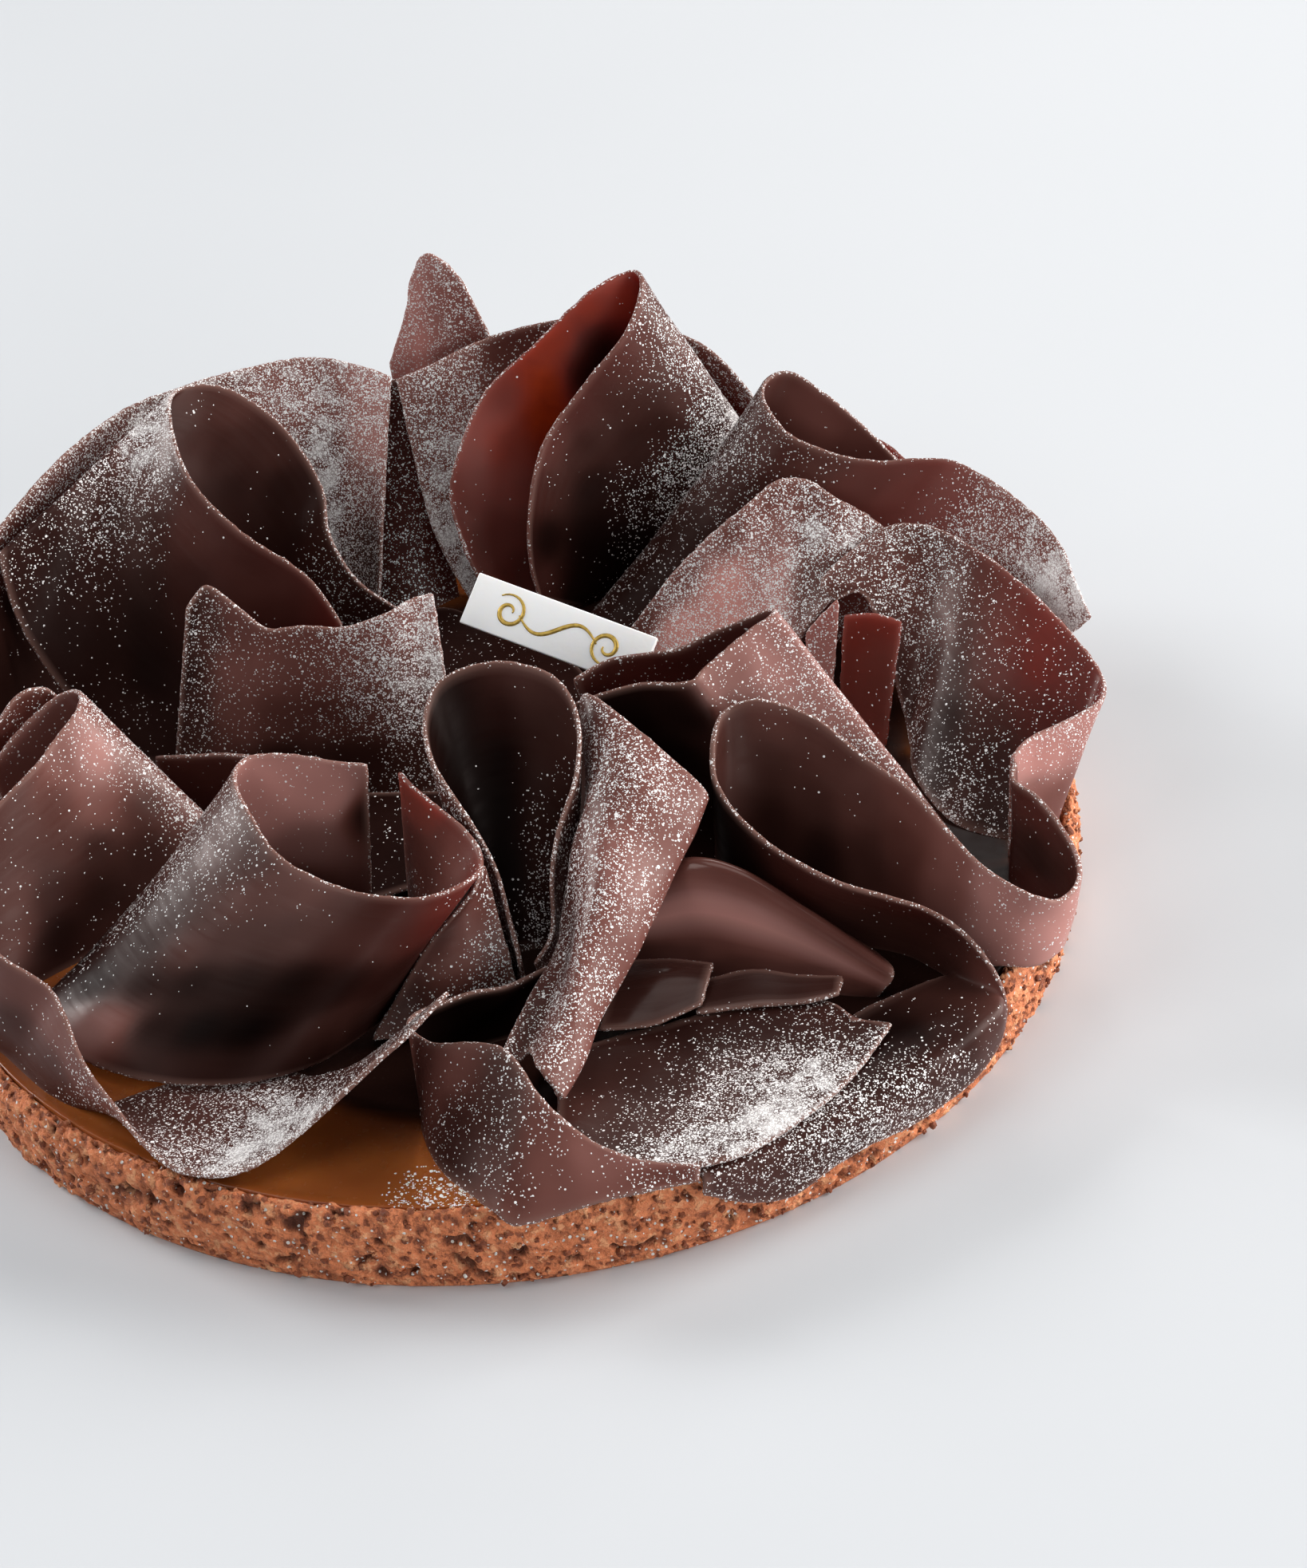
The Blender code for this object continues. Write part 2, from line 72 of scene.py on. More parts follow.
# Each sheet's rows of points, from its top edge down to its foot, as in the CAD
# source. A point of two numbers stands at the foot level.
SHEETS = {
    # the great roll at the back left, open towards the middle
    "roll_back_left": [
        [(-27, 31, 42), (-33, 37, 50), (-45, 43, 58), (-54, 53, 65), (-58, 68, 70), (-57, 78, 71),
         (-48, 82, 68), (-38, 78, 61), (-31, 70, 51), (-30, 62, 44), (-25, 54, 37), (-17, 51, 31)],
        [(-38, 32), (-50, 28), (-63, 27), (-76, 33, 18.5), (-89, 40, 40), (-91, 43, 58),
         (-87, 48, 51), (-79, 51, 34), (-67, 54, 20), (-53, 57), (-36, 55), (-20, 46)],
    ],
    # the outer wall behind it
    "wall_back_left": [
        [(-102, 22, 54), (-98, 37, 58), (-92, 49, 60), (-82, 65, 64), (-70, 82, 65), (-58, 90, 65),
         (-46, 97, 64), (-32, 101, 63), (-22, 99, 61), (-16, 97, 59)],
        [(-100, 20), (-95, 33), (-88, 45), (-79, 57), (-68, 69), (-58, 78), (-46, 83), (-36, 81),
         (-28, 75), (-24, 66)],
    ],
    "leaf_back": [
        [(-19, 98, 52), (-15, 101, 56), (-11, 98, 52)],
        [(-26, 75), (-17, 73), (-7, 79)],
    ],
    "wall_back": [
        [(-14, 95, 59), (-7, 96, 61), (0, 98, 63), (10, 100, 65), (22, 101, 66), (34, 99, 66),
         (44, 94, 64), (51, 90, 61), (57, 87, 54), (60, 85, 49)],
        [(-10, 82, 31), (-3, 86, 34), (5, 91, 36), (15, 95, 38), (26, 97, 40), (37, 97, 40),
         (46, 95, 40), (54, 92, 39), (61, 89, 36), (65, 87, 33)],
        [(-3, 74), (4, 80), (12, 87), (22, 91), (32, 92), (41, 92), (49, 91), (57, 90, 18.2),
         (64, 88, 18.2), (70, 86, 18.2)],
    ],
    "petal_back": [
        [(-16, 109, 56), (-11, 108, 68), (-9, 107, 76), (-5, 105, 82), (0, 105, 77), (3, 105, 69),
         (6, 105, 59)],
        [(-15, 107, 18.2), (-11, 106, 18.2), (-8, 105.5, 18.2), (-5, 105.5, 18.2),
         (-1, 105.5, 18.2), (3, 105.5, 18.2), (7, 105.5, 18.2)],
    ],
    # the tall loop at the back, a drop shape seen from its opening
    "loop_back": [
        [(11, 61, 24), (10, 61, 34), (11, 63, 44), (15, 69, 55), (24, 75, 64), (34, 80, 73),
         (38, 87, 79), (36, 92, 80), (27, 88, 78), (15, 83, 70), (5, 80, 63), (-2, 74, 53),
         (-5, 72, 43), (-3, 68, 32)],
        [(20, 71), (28, 74), (37, 75.5), (46, 75.5), (55, 75.5), (64, 77, 17), (71, 80, 18.4),
         (66, 82, 18.4), (55, 81.5), (44, 82), (33, 82), (23, 79), (12, 74), (2, 67)],
    ],
    # the roll at the back right, which runs on as a wavy sheet round the edge
    "roll_back_right": [
        [(86, 68, 44), (80, 70, 51), (73, 72, 58), (66, 76, 62), (61, 74, 62), (60, 69, 60),
         (64, 62, 56), (72, 58, 53), (80, 55, 52), (88, 54, 52), (95, 52, 52), (101, 46, 51),
         (106, 38, 50), (110, 32, 48), (113, 26, 45), (114, 20, 42), (116, 15, 37)],
        [(74, 66), (64, 69), (52, 70), (40, 69), (28, 66), (19, 62), (18, 57), (26, 52), (37, 50),
         (50, 50), (62, 49), (73, 47), (82, 43), (90, 36), (96, 28), (100, 21, 17), (107, 17, 28)],
    ],
    "leaf_back_right": [
        [(78, 78, 44), (83, 75, 45), (88, 71, 42), (91, 67, 38)],
        [(74, 78, 18.2), (80, 72, 18.2), (85, 66, 18.2), (88, 61, 18.2)],
    ],
    "fold_right": [
        [(29, 46, 24), (38, 47, 35), (46, 47, 43), (53, 48, 48), (60, 52, 51), (66, 52, 51),
         (71, 48, 49), (76, 45.5, 46.5), (80, 43, 44)],
        [(34, 38), (40, 34), (46, 31, 16.6), (52, 29, 18), (58, 27.5, 25), (63, 29.5, 31.5),
         (68, 31, 36.5), (73.5, 35, 39.5), (79, 40, 41.5)],
    ],
    "leaf_right": [
        [(70.5, 25, 36), (75.5, 23, 37), (80.5, 21, 36)],
        [(67.5, 16), (71.5, 13), (75.5, 10)],
    ],
    "leaf_right_pale": [
        [(63, 24.5, 33.5), (66, 24.5, 37), (69, 24.8, 39.8)],
        [(61, 18), (63, 17.8), (65.3, 17.5)],
    ],
    # the outer sheet on the right, folded back on itself at its tip
    "wall_right": [
        [(79.5, 40.8, 44.8), (84, 40, 46), (90, 37, 46), (97, 29, 45), (103, 21, 43), (108, 12, 41),
         (113, 2, 38), (115, -5, 36), (113, -12, 36), (106, -17, 36), (99, -21, 36), (95, -26, 36)],
        [(67.3, 31, 41.5), (76, 30.5, 40.5), (85.5, 24.5, 33), (89, 13, 31), (93, 4, 29.6),
         (98, -3.5, 28.6), (104.2, -10.5, 27), (108, -13, 26), (107.7, -17.3, 26),
         (103.5, -20.8, 26), (98.5, -23.7, 26), (94.5, -27, 26)],
        [(68.8, 28, 38.5), (75.5, 27, 37.8), (80.5, 11, 18), (80, -3, 17.6), (83, -13, 16.6),
         (88, -19), (95.5, -23), (101, -21), (102.5, -22.5), (101, -24.5), (98, -26.3), (94, -28)],
    ],
    # the long ribbon that loops twice and lies down over the crust at its end
    "ribbon_right": [
        [(95, -28, 36), (94, -33, 36), (97, -38, 36), (100, -45, 35), (102, -53, 33),
         (101, -59, 32), (97, -63, 32), (92, -63, 34), (86, -57, 35), (81, -49, 37), (75, -38, 40),
         (67, -30, 43), (60, -25, 48), (51, -22, 51), (45, -22, 50), (42, -26, 48), (41, -33, 43),
         (44, -40, 40), (50, -48, 38), (59, -56, 36), (67, -59, 34), (75, -61, 31), (81, -64, 27),
         (86, -69, 20), (86, -73, 15), (83, -77, 11), (77, -82.5, 9), (67, -91, 10),
         (60, -95.5, 11), (53, -99, 10), (46, -102.5, 8), (39, -105, 10), (32, -107.5, 15)],
        [(95, -29, 27), (94, -34, 27), (96, -40, 27), (98, -46, 26), (101, -54, 26), (100, -60, 26),
         (96, -63, 26), (91, -63, 27), (85, -58, 27), (79, -50, 28), (73, -42, 29), (65, -36, 31),
         (58, -31, 33), (50, -28, 34), (44, -28, 34), (41, -31, 32), (41, -37, 30), (44, -42, 29),
         (51, -46, 28), (58, -51, 27), (66, -54, 26), (74, -57, 25), (79, -61, 23), (83, -67, 19),
         (84.5, -72, 18.4), (81, -76.5, 18.3), (75.5, -82, 18.3), (66, -89.8, 18.3),
         (59, -94.5, 18.3), (52, -98.4, 18.3), (45, -101.8, 18.3), (38, -104.6, 18.3),
         (32, -106.6, 18.4)],
        [(94, -31), (93, -35), (94, -40, 17.4), (96, -46, 18.3), (99, -54, 18.6), (98, -60, 19.4),
         (93, -64, 19.6), (88, -62, 18.6), (82, -57), (76, -51), (71, -46), (63, -41), (56, -37),
         (49, -34), (44, -34), (40, -36), (41, -40), (45, -42), (51, -44), (58, -47), (66, -50),
         (73, -54), (78, -60), (77, -62.5, 17), (73, -64.5, 17.4), (68, -67, 17.6), (61, -71, 17.8),
         (56, -76, 17.8), (51, -81, 17.9), (46, -86, 17.9), (40, -90, 17.9), (35, -93, 17.9),
         (31, -96, 17.9)],
    ],
    # the folded sheet beside the middle, two leaves that meet in a long ridge
    "fold_middle": [
        [(18, -2, 46), (24, 0, 48), (31, -2, 50), (37, -3, 51), (43, -2, 53), (49, -2, 55),
         (54, -3, 57.5), (55, -5, 58), (50, -8, 56.5), (42, -14, 54), (38, -17, 53), (29, -13, 51),
         (18, -11, 47)],
        [(24, 0), (31, 0), (38, -2), (47, -5), (57, -9), (70, -17), (86, -30), (87, -33), (77, -33),
         (65, -31), (54, -29), (42, -24), (30, -18)],
    ],
    "loop_middle": [
        [(4, -57, 25), (3, -52, 31), (1, -45, 38), (-3, -38, 44), (-8, -30, 50), (-9, -22, 54),
         (-6, -15, 57), (1, -12, 58), (8, -13, 58), (15, -18, 57), (18, -25, 53), (17, -34, 48),
         (13, -42, 42), (11, -48, 36), (10, -54, 29), (7, -58, 26)],
        [(4, -54), (3, -52), (1, -50), (0, -48), (-1, -46), (0, -44), (2, -42), (5, -41), (8, -41),
         (11, -42), (13, -44), (13, -46), (12, -48), (11, -50), (10, -52), (8, -54)],
    ],
    # the long rounded band in front of the middle, lying on its neighbours
    "band_middle": [
        [(18.8, -16, 49), (18.7, -30, 44), (17.6, -38, 40.5), (14.5, -45.5, 36), (12.5, -52, 31),
         (11, -58, 28.5), (5.5, -70, 27.5), (1.2, -79.8, 26), (-1, -86.5, 24.5)],
        [(20.5, -16.5, 52), (21, -31, 48), (19, -39, 45), (16, -46, 41), (15, -52, 36),
         (14, -58, 32), (11, -66, 29), (8, -73, 27), (5, -80, 25)],
        [(30, -29, 50), (28, -39, 48), (24, -47, 45), (21, -55, 42), (18, -62, 38), (15, -69, 35),
         (13, -75, 32), (10, -81, 29), (7, -87, 27)],
        [(39, -37, 43), (36, -44, 40), (32, -50, 37), (28, -57, 34), (25, -63, 32), (21, -69, 29),
         (17, -76, 27), (14, -83, 25), (10, -90, 23.4)],
        [(35, -36, 40), (32, -42, 37), (29, -48, 34), (25, -55, 31), (22, -61, 29), (18, -67, 27),
         (15, -74, 25.5), (12, -81, 24), (9, -88, 22.8)],
    ],
    "saddle_middle": [
        [(-55, 28, 51), (-51, 30, 54), (-46, 26, 52), (-40, 21, 49), (-33, 19, 50), (-25, 17, 50),
         (-17, 17, 52), (-11, 20, 53), (-8, 21, 53)],
        [(-63, 20), (-58, 18), (-51, 16), (-43, 14), (-35, 13), (-27, 11), (-19, 10), (-12, 10),
         (-7, 11)],
    ],
    "roll_left": [
        [(-93, -30, 42), (-86, -22, 46), (-81, -17, 48), (-77, -11, 50), (-73, -5, 52),
         (-73, 1, 52), (-77, 4, 50), (-84, 0, 47), (-91, -6, 42)],
        [(-96, -41), (-90, -40), (-80, -33), (-67, -24), (-54, -15), (-46, -9), (-56, -2),
         (-70, -2), (-86, -8)],
    ],
    "petal_left": [
        [(-94, -2, 44), (-89, 0, 48), (-85, 4, 51), (-81, 7, 50), (-79, 8, 47)],
        [(-96, 8), (-91, 10), (-86, 11), (-80, 11), (-75, 11)],
    ],
    "leaf_left": [
        [(-63, 8, 31), (-57, 6, 32), (-50, 4, 33), (-44, 1, 34)],
        [(-63, 8), (-57, 7), (-50, 5), (-43, 3)],
    ],
    # the wide cup at the front left
    "cup_front_left": [
        [(-20, -28, 50), (-26, -26, 50), (-33, -23, 50), (-40, -22, 50), (-43, -25, 50),
         (-43, -31, 50), (-40, -39, 49), (-36, -47, 47), (-31, -52, 46), (-25, -56, 45),
         (-18, -59, 44.5), (-11, -60, 44), (-5, -58, 44), (-1, -54, 44), (-1, -48, 44),
         (-4, -42, 45), (-8, -37, 46), (-12, -32, 47), (-14, -29, 48)],
        [(-24, -30), (-33, -30), (-46, -30), (-60, -32), (-72, -35), (-80, -39), (-83, -46, 17),
         (-80, -54, 17.5), (-74, -61, 17.8), (-65, -67, 17.8), (-54, -71, 17.8), (-43, -72, 18),
         (-34, -70, 18.2), (-27, -65, 18), (-21, -58, 17.4), (-18, -50), (-17, -43), (-16, -37),
         (-16, -32)],
    ],
    # the wavy ribbon that cradles the cup and rests on the crust
    "ribbon_front_left": [
        [(-91, -47, 39), (-85, -54, 36), (-77, -59, 32), (-74, -65, 30), (-71, -72, 26),
         (-67, -78, 23), (-63, -84, 21), (-59, -89, 19.5), (-54, -94, 19), (-47, -96, 19),
         (-41, -95, 19.8), (-34, -93, 23.5), (-26, -92, 30), (-19, -90, 35), (-14, -88, 38),
         (-7, -83, 42)],
        [(-94, -47), (-91, -52), (-87, -57), (-83, -62.5), (-79, -67), (-74, -71), (-69, -72),
         (-63, -70), (-57, -68), (-50, -67), (-44, -67), (-39, -67.5), (-36, -69), (-34, -71),
         (-32, -73), (-30, -75)],
    ],
    # a small leaf whose skirt hangs between the cup, the loop and the front ribbon
    "leaf_front": [
        [(-2.1, -53, 39.5), (-1.5, -50, 39.6), (-0.8, -46.5, 39)],
        [(-11.3, -57, 31), (-5, -56, 32), (0.8, -52, 32)],
        [(-17, -60.5, 24), (-7.5, -60, 25), (2, -56.2, 25.5)],
        [(-22.5, -63.5, 17.3), (-9, -63, 17), (3, -59, 17)],
    ],
    # the ribbon at the front: a curled wall that leans over the crust
    "ribbon_front": [
        [(9, -61, 27), (2, -66, 28), (-4, -68, 29), (-9, -70, 29), (-14, -74, 30), (-14, -79, 31),
         (-10, -84, 32), (-4, -87, 34), (1, -90, 35), (4, -94, 34), (6, -98, 32), (9, -101, 29.5),
         (13, -103.5, 26.5), (17, -105.5, 24.5), (23, -107, 22.5), (31, -107.5, 21)],
        [(9, -60), (2, -64), (-4, -66), (-9, -69), (-13, -75), (-14, -83), (-13, -92, 17.5),
         (-10, -100, 18.4), (-6, -106, 19.4), (-2, -111, 19.5), (1, -113, 17.8), (7, -112.5, 18.4),
         (13, -112, 19.6), (19, -111, 20), (25, -110, 19.8), (31, -108.8, 19.4)],
    ],
    # its floor, flat on the caramel and the crust
    "floor_front": [
        [(9, -95, 19.6), (15, -100, 19.8), (22, -104, 20), (29, -106, 20), (36, -105.6, 20),
         (43, -102, 20), (49, -97.5, 20), (55, -92, 20), (61, -84.5, 20), (66, -77, 20.2)],
        [(10, -74, 17.8), (15, -72, 17.8), (21, -70, 17.8), (27, -69, 17.8), (33, -68, 18.2),
         (40, -67, 18.6), (46, -67, 19), (52, -67, 19.4), (57, -70, 19.8), (60, -75, 20.2)],
    ],
    # low leaves that lie on the caramel between the standing sheets
    "leaf_floor_back": [
        [(-18, 68, 18.2), (-10, 71, 17.4), (-3, 67, 17), (11, 57, 17.6)],
        [(-12, 49, 17.2), (-3, 47, 18), (7, 43, 18.8), (19, 38, 18.4)],
        [(-6, 30, 17.5), (3, 28, 17), (13, 26, 17.4), (24, 24, 18.5)],
    ],
    "leaf_floor_middle": [
        [(-42, 9, 17), (-32, 8, 18), (-20, 6, 18.4), (-6, 6, 17.2)],
        [(-44, -24, 17.4), (-33, -25, 17), (-21, -24, 17.6), (-8, -20, 18.4)],
    ],
    # the glossy cone that lies under the long ribbon
    "cone_right": [
        [(24, -40, 27), (30, -41, 30), (36, -43, 32), (43, -46, 31.5), (50, -50.5, 28.5),
         (58, -54.5, 25), (66, -58.8, 20.8)],
        [(23, -45, 28.5), (29, -46.5, 32), (36, -48.5, 35.5), (44, -51.5, 34.5), (52, -55.5, 30.5),
         (60, -60, 26), (68, -64.3, 21)],
        [(22, -49), (28, -51.5), (36, -54), (44, -57), (52, -59.5), (59, -61.8), (65, -63.5)],
    ],
    # broken plates on the floor in front of the cone
    "plate_middle": [
        [(23, -56, 22.5), (30, -57.5, 23), (37, -59.5, 22.8)],
        [(20, -62, 22.4), (28, -63, 23.4), (36, -63, 22.6)],
        [(17, -70, 19.8), (26, -70, 19.8), (34.5, -67.5, 21.2)],
    ],
    "plate_right": [
        [(35, -61, 20.4), (44, -61.5, 22), (52, -64, 21.8), (59, -65, 21.4)],
        [(34, -68, 19.7), (44, -68.5, 20.4), (52, -69.5, 20.9), (58, -69, 21.4)],
    ],
}


# --------------------------------------------------------------------- helpers
def smooth(points, cuts):
    """Catmull-Rom curve through the first axis of an array of points."""
    before = np.concatenate([points[:1], points[:-2]]) if len(points) > 2 else points[:1]
    start, end = points[:-1], points[1:]
    after = np.concatenate([points[2:], points[-1:]])
    pieces = []
    for step in range(cuts):
        t = step / cuts
        pieces.append(0.5 * (2 * start + (end - before) * t
                             + (2 * before - 5 * start + 4 * end - after) * t ** 2
                             + (3 * start - before - 3 * end + after) * t ** 3))
    line = np.stack(pieces, 1).reshape(-1, *points.shape[1:])
    return np.concatenate([line, points[-1:]])


def unit(vectors):
    length = np.linalg.norm(vectors, axis=-1, keepdims=True)
    return vectors / np.maximum(length, 1e-9)


def ramp(value, low, high):
    """Smooth step from 0 at low to 1 at high."""
    t = np.clip((value - low) / (high - low), 0.0, 1.0)
    return t * t * (3.0 - 2.0 * t)


def noise_at(points, size, seed=0.0):
    """Noise from about -1 to 1 at each point, for features of this size in mm."""
    flat = points.reshape(-1, 3) / size + seed
    values = [noise.noise(Vector(p)) for p in flat.tolist()]
    return np.array(values).reshape(points.shape[:-1])


def read_rows(items, key, kind=np.float32, width=3):
    """One row of numbers for each item of a mesh's list."""
    values = np.empty(len(items) * width, kind)
    items.foreach_get(key, values)
    return values.reshape(-1, width)


def make_mesh(name, corners, faces, material, replaces=None, attributes=None,
              smooth_faces=True):
    """A mesh object from corners in mm, which rides on the tart's only body."""
    mesh = bpy.data.meshes.new(name)
    corners = np.asarray(corners, float) * MM
    count, sides = faces.shape
    mesh.vertices.add(len(corners))
    mesh.vertices.foreach_set("co", corners.astype(np.float32).ravel())
    mesh.loops.add(faces.size)
    mesh.loops.foreach_set("vertex_index", faces.astype(np.int32).ravel())
    mesh.polygons.add(count)
    mesh.polygons.foreach_set("loop_start", np.arange(count, dtype=np.int32) * sides)
    mesh.polygons.foreach_set("loop_total", np.full(count, sides, np.int32))
    mesh.update(calc_edges=True)
    mesh.validate()
    for key, values in (attributes or {}).items():
        layer = mesh.attributes.new(key, "FLOAT_VECTOR", "POINT")
        layer.data.foreach_set("vector", np.asarray(values, np.float32).ravel())
    if smooth_faces:
        mesh.shade_smooth()
    else:
        mesh.shade_flat()
    mesh.materials.append(material)
    item = bpy.data.objects.new(name, mesh)
    bpy.context.scene.collection.objects.link(item)
    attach(item, "root")
    if replaces:
        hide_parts(*replaces)
    return item


# ------------------------------------------------------------------- materials
class Nodes:
    """A material's node tree, with short calls that add and join nodes."""

    def __init__(self, name):
        self.material = bpy.data.materials.new(name)
        self.material.use_nodes = True
        self.tree = self.material.node_tree
        self.shader = self.tree.nodes["Principled BSDF"]
        self.where = self.add("ShaderNodeTexCoord").outputs["Object"]

    def join(self, socket, value):
        """Links an output to a socket, or sets the socket's own value."""
        if hasattr(value, "is_linked"):
            self.tree.links.new(value, socket)
        elif socket.type == "RGBA":
            socket.default_value = (*value, 1.0)
        else:
            socket.default_value = value

    def set(self, **values):
        for key, value in values.items():
            self.join(self.shader.inputs[key.replace("_", " ")], value)

    def add(self, kind, inputs=None, **settings):
        node = self.tree.nodes.new(kind)
        for key, value in settings.items():
            setattr(node, key, value)
        for key, value in (inputs or {}).items():
            self.join(node.inputs[key], value)
        return node

    def attribute(self, name):
        """The three numbers kept at each corner under a name, and their vector."""
        held = self.add("ShaderNodeAttribute", attribute_name=name).outputs["Vector"]
        return [*self.add("ShaderNodeSeparateXYZ", {0: held}).outputs, held]

    def noise(self, scale, detail=2.0, roughness=0.5, where=None):
        inputs = {"Vector": where or self.where, "Scale": scale, "Detail": detail,
                  "Roughness": roughness}
        return self.add("ShaderNodeTexNoise", inputs).outputs["Fac"]

    def math(self, operation, first, second):
        return self.add("ShaderNodeMath", {0: first, 1: second}, operation=operation).outputs[0]

    def times(self, first, second):
        return self.math("MULTIPLY", first, second)

    def most(self, first, *others):
        for other in others:
            first = self.math("MAXIMUM", first, other)
        return first

    def span(self, value, low, high, to_low=0.0, to_high=1.0):
        """A smooth step from to_low, where the value is low, to to_high."""
        inputs = {"Value": value, "From Min": low, "From Max": high, "To Min": to_low,
                  "To Max": to_high}
        return self.add("ShaderNodeMapRange", inputs,
                        interpolation_type="SMOOTHSTEP").outputs["Result"]

    def mix(self, share, first, second):
        return self.add("ShaderNodeMix", {0: share, 6: first, 7: second},
                        data_type="RGBA").outputs[2]

    def layers(self, base, *layers):
        """A colour under layers of (mask, low, high, to_low, to_high, colour)."""
        for *mask, colour in layers:
            base = self.mix(self.span(*mask), base, colour)
        return base

    def shine_through(self, share, colour):
        """Lets a share of the light behind a thin sheet through, in a colour."""
        thin = self.add("ShaderNodeBsdfTranslucent", {"Color": colour})
        both = self.add("ShaderNodeMixShader", {0: share, 1: self.shader.outputs[0],
                                                2: thin.outputs[0]})
        output = self.tree.nodes["Material Output"]
        self.tree.links.new(both.outputs[0], output.inputs["Surface"])

    def bump(self, height, distance, strength=1.0, under=None):
        inputs = {"Height": height, "Distance": distance, "Strength": strength}
        if under is not None:
            inputs["Normal"] = under
        return self.add("ShaderNodeBump", inputs).outputs["Normal"]

    def specks(self, cell, cover, size):
        """Mask of separate sugar specks. A share of the cells, whose size is in
        mm, hold one each, and a speck's size is a share of its cell."""
        cells = self.add("ShaderNodeTexVoronoi", {"Vector": self.where,
                                                  "Scale": 1.0 / (cell * MM)})
        chance = self.add("ShaderNodeSeparateColor", {0: cells.outputs["Color"]}).outputs
        held = self.math("LESS_THAN", chance[0], cover)
        reach = self.span(chance[1], 0.0, 1.0, size * 0.6, size * 1.3)
        return self.times(held, self.math("LESS_THAN", cells.outputs["Distance"], reach))


def chocolate_material(name):
    dark, light = (0.058, 0.0185, 0.0140), (0.088, 0.032, 0.0255)
    painted_lit_brown = (0.074, 0.0345, 0.0300)
    worn = (0.30, 0.165, 0.135)
    painted_glow_red = (0.46, 0.084, 0.052)
    sugar_white = (0.86, 0.83, 0.82)
    red_light, amber_light = (0.85, 0.16, 0.13), (1.0, 0.36, 0.12)
    roughness = 0.36
    nodes = Nodes(name)
    dust, glow, rim, _ = nodes.attribute("look")
    *_, flow = nodes.attribute("flow")
    painted_light, gloss, _, _ = nodes.attribute("painted_light_and_gloss")

    # the chocolate itself, streaked along its run
    cloud = nodes.noise(45.0, 3.0)
    along = nodes.add("ShaderNodeVectorMath", {0: flow, 1: (0.05, 0.9, 3.0)},
                      operation="MULTIPLY").outputs[0]
    streak = nodes.noise(1.0, 3.0, where=along)
    body = nodes.mix(nodes.span(cloud, 0.3, 0.7), dark, light)
    # painted light and shade: the chocolate is scaled by the painted light, and pales where it is
    # painted bright
    body = nodes.mix(nodes.span(painted_light, 1.0, 4.5), body, painted_lit_brown)
    body = nodes.add("ShaderNodeVectorMath", {0: body, "Scale": painted_light},
                     operation="SCALE").outputs[0]
    body = nodes.mix(nodes.times(rim, 0.5), body, worn)
    # painted glow: the chocolate's own colour turns red where light is to come through it
    body = nodes.mix(nodes.span(glow, 0.35, 1.0, 0.0, 0.9), body, painted_glow_red)

    # sugar: three sizes of speck, and a veil where it lies thick
    patch = nodes.noise(260.0, 3.0, 0.6)
    thick = nodes.times(dust, nodes.span(patch, 0.3, 0.7, 0.72, 1.28))
    held = nodes.math("DIVIDE", thick, nodes.math("ADD", thick, 0.045))
    cover = nodes.times(thick, held)
    fine = nodes.specks(0.27, nodes.times(cover, 0.9), 0.47)
    middle = nodes.specks(0.48, nodes.times(cover, 0.50), 0.38)
    big = nodes.specks(0.80, nodes.times(nodes.math("POWER", cover, 1.5), 0.28), 0.34)
    veil = nodes.span(cover, 0.62, 1.25, 0.0, 0.65)
    sugar = nodes.most(fine, middle, big, veil)
    nodes.set(Base_Color=nodes.mix(sugar, body, sugar_white))

    rough = nodes.math("SUBTRACT",
                       nodes.span(streak, 0.3, 0.7, roughness - 0.05, roughness + 0.07),
                       nodes.times(gloss, 0.16))
    # reflections also weaken where the painted shade is dark
    nodes.set(Roughness=nodes.most(rough, nodes.times(sugar, 0.9)),
              Specular_IOR_Level=nodes.math("ADD", nodes.span(painted_light, 0.05, 1.2, 0.05, 0.26),
                                            nodes.times(gloss, 0.2)),
              Specular_Tint=(1.0, 0.86, 0.81))
    height = nodes.math("ADD", nodes.times(streak, 0.10), nodes.times(nodes.noise(900.0), 0.05))
    skin = nodes.bump(height, 0.00025, 0.5)
    nodes.set(Normal=nodes.bump(sugar, 0.00012, 0.6, skin))
    lit = nodes.mix(nodes.span(glow, 0.3, 1.0), red_light, amber_light)
    nodes.shine_through(nodes.times(glow, nodes.math("SUBTRACT", 1.0, sugar)), lit)
    return nodes.material


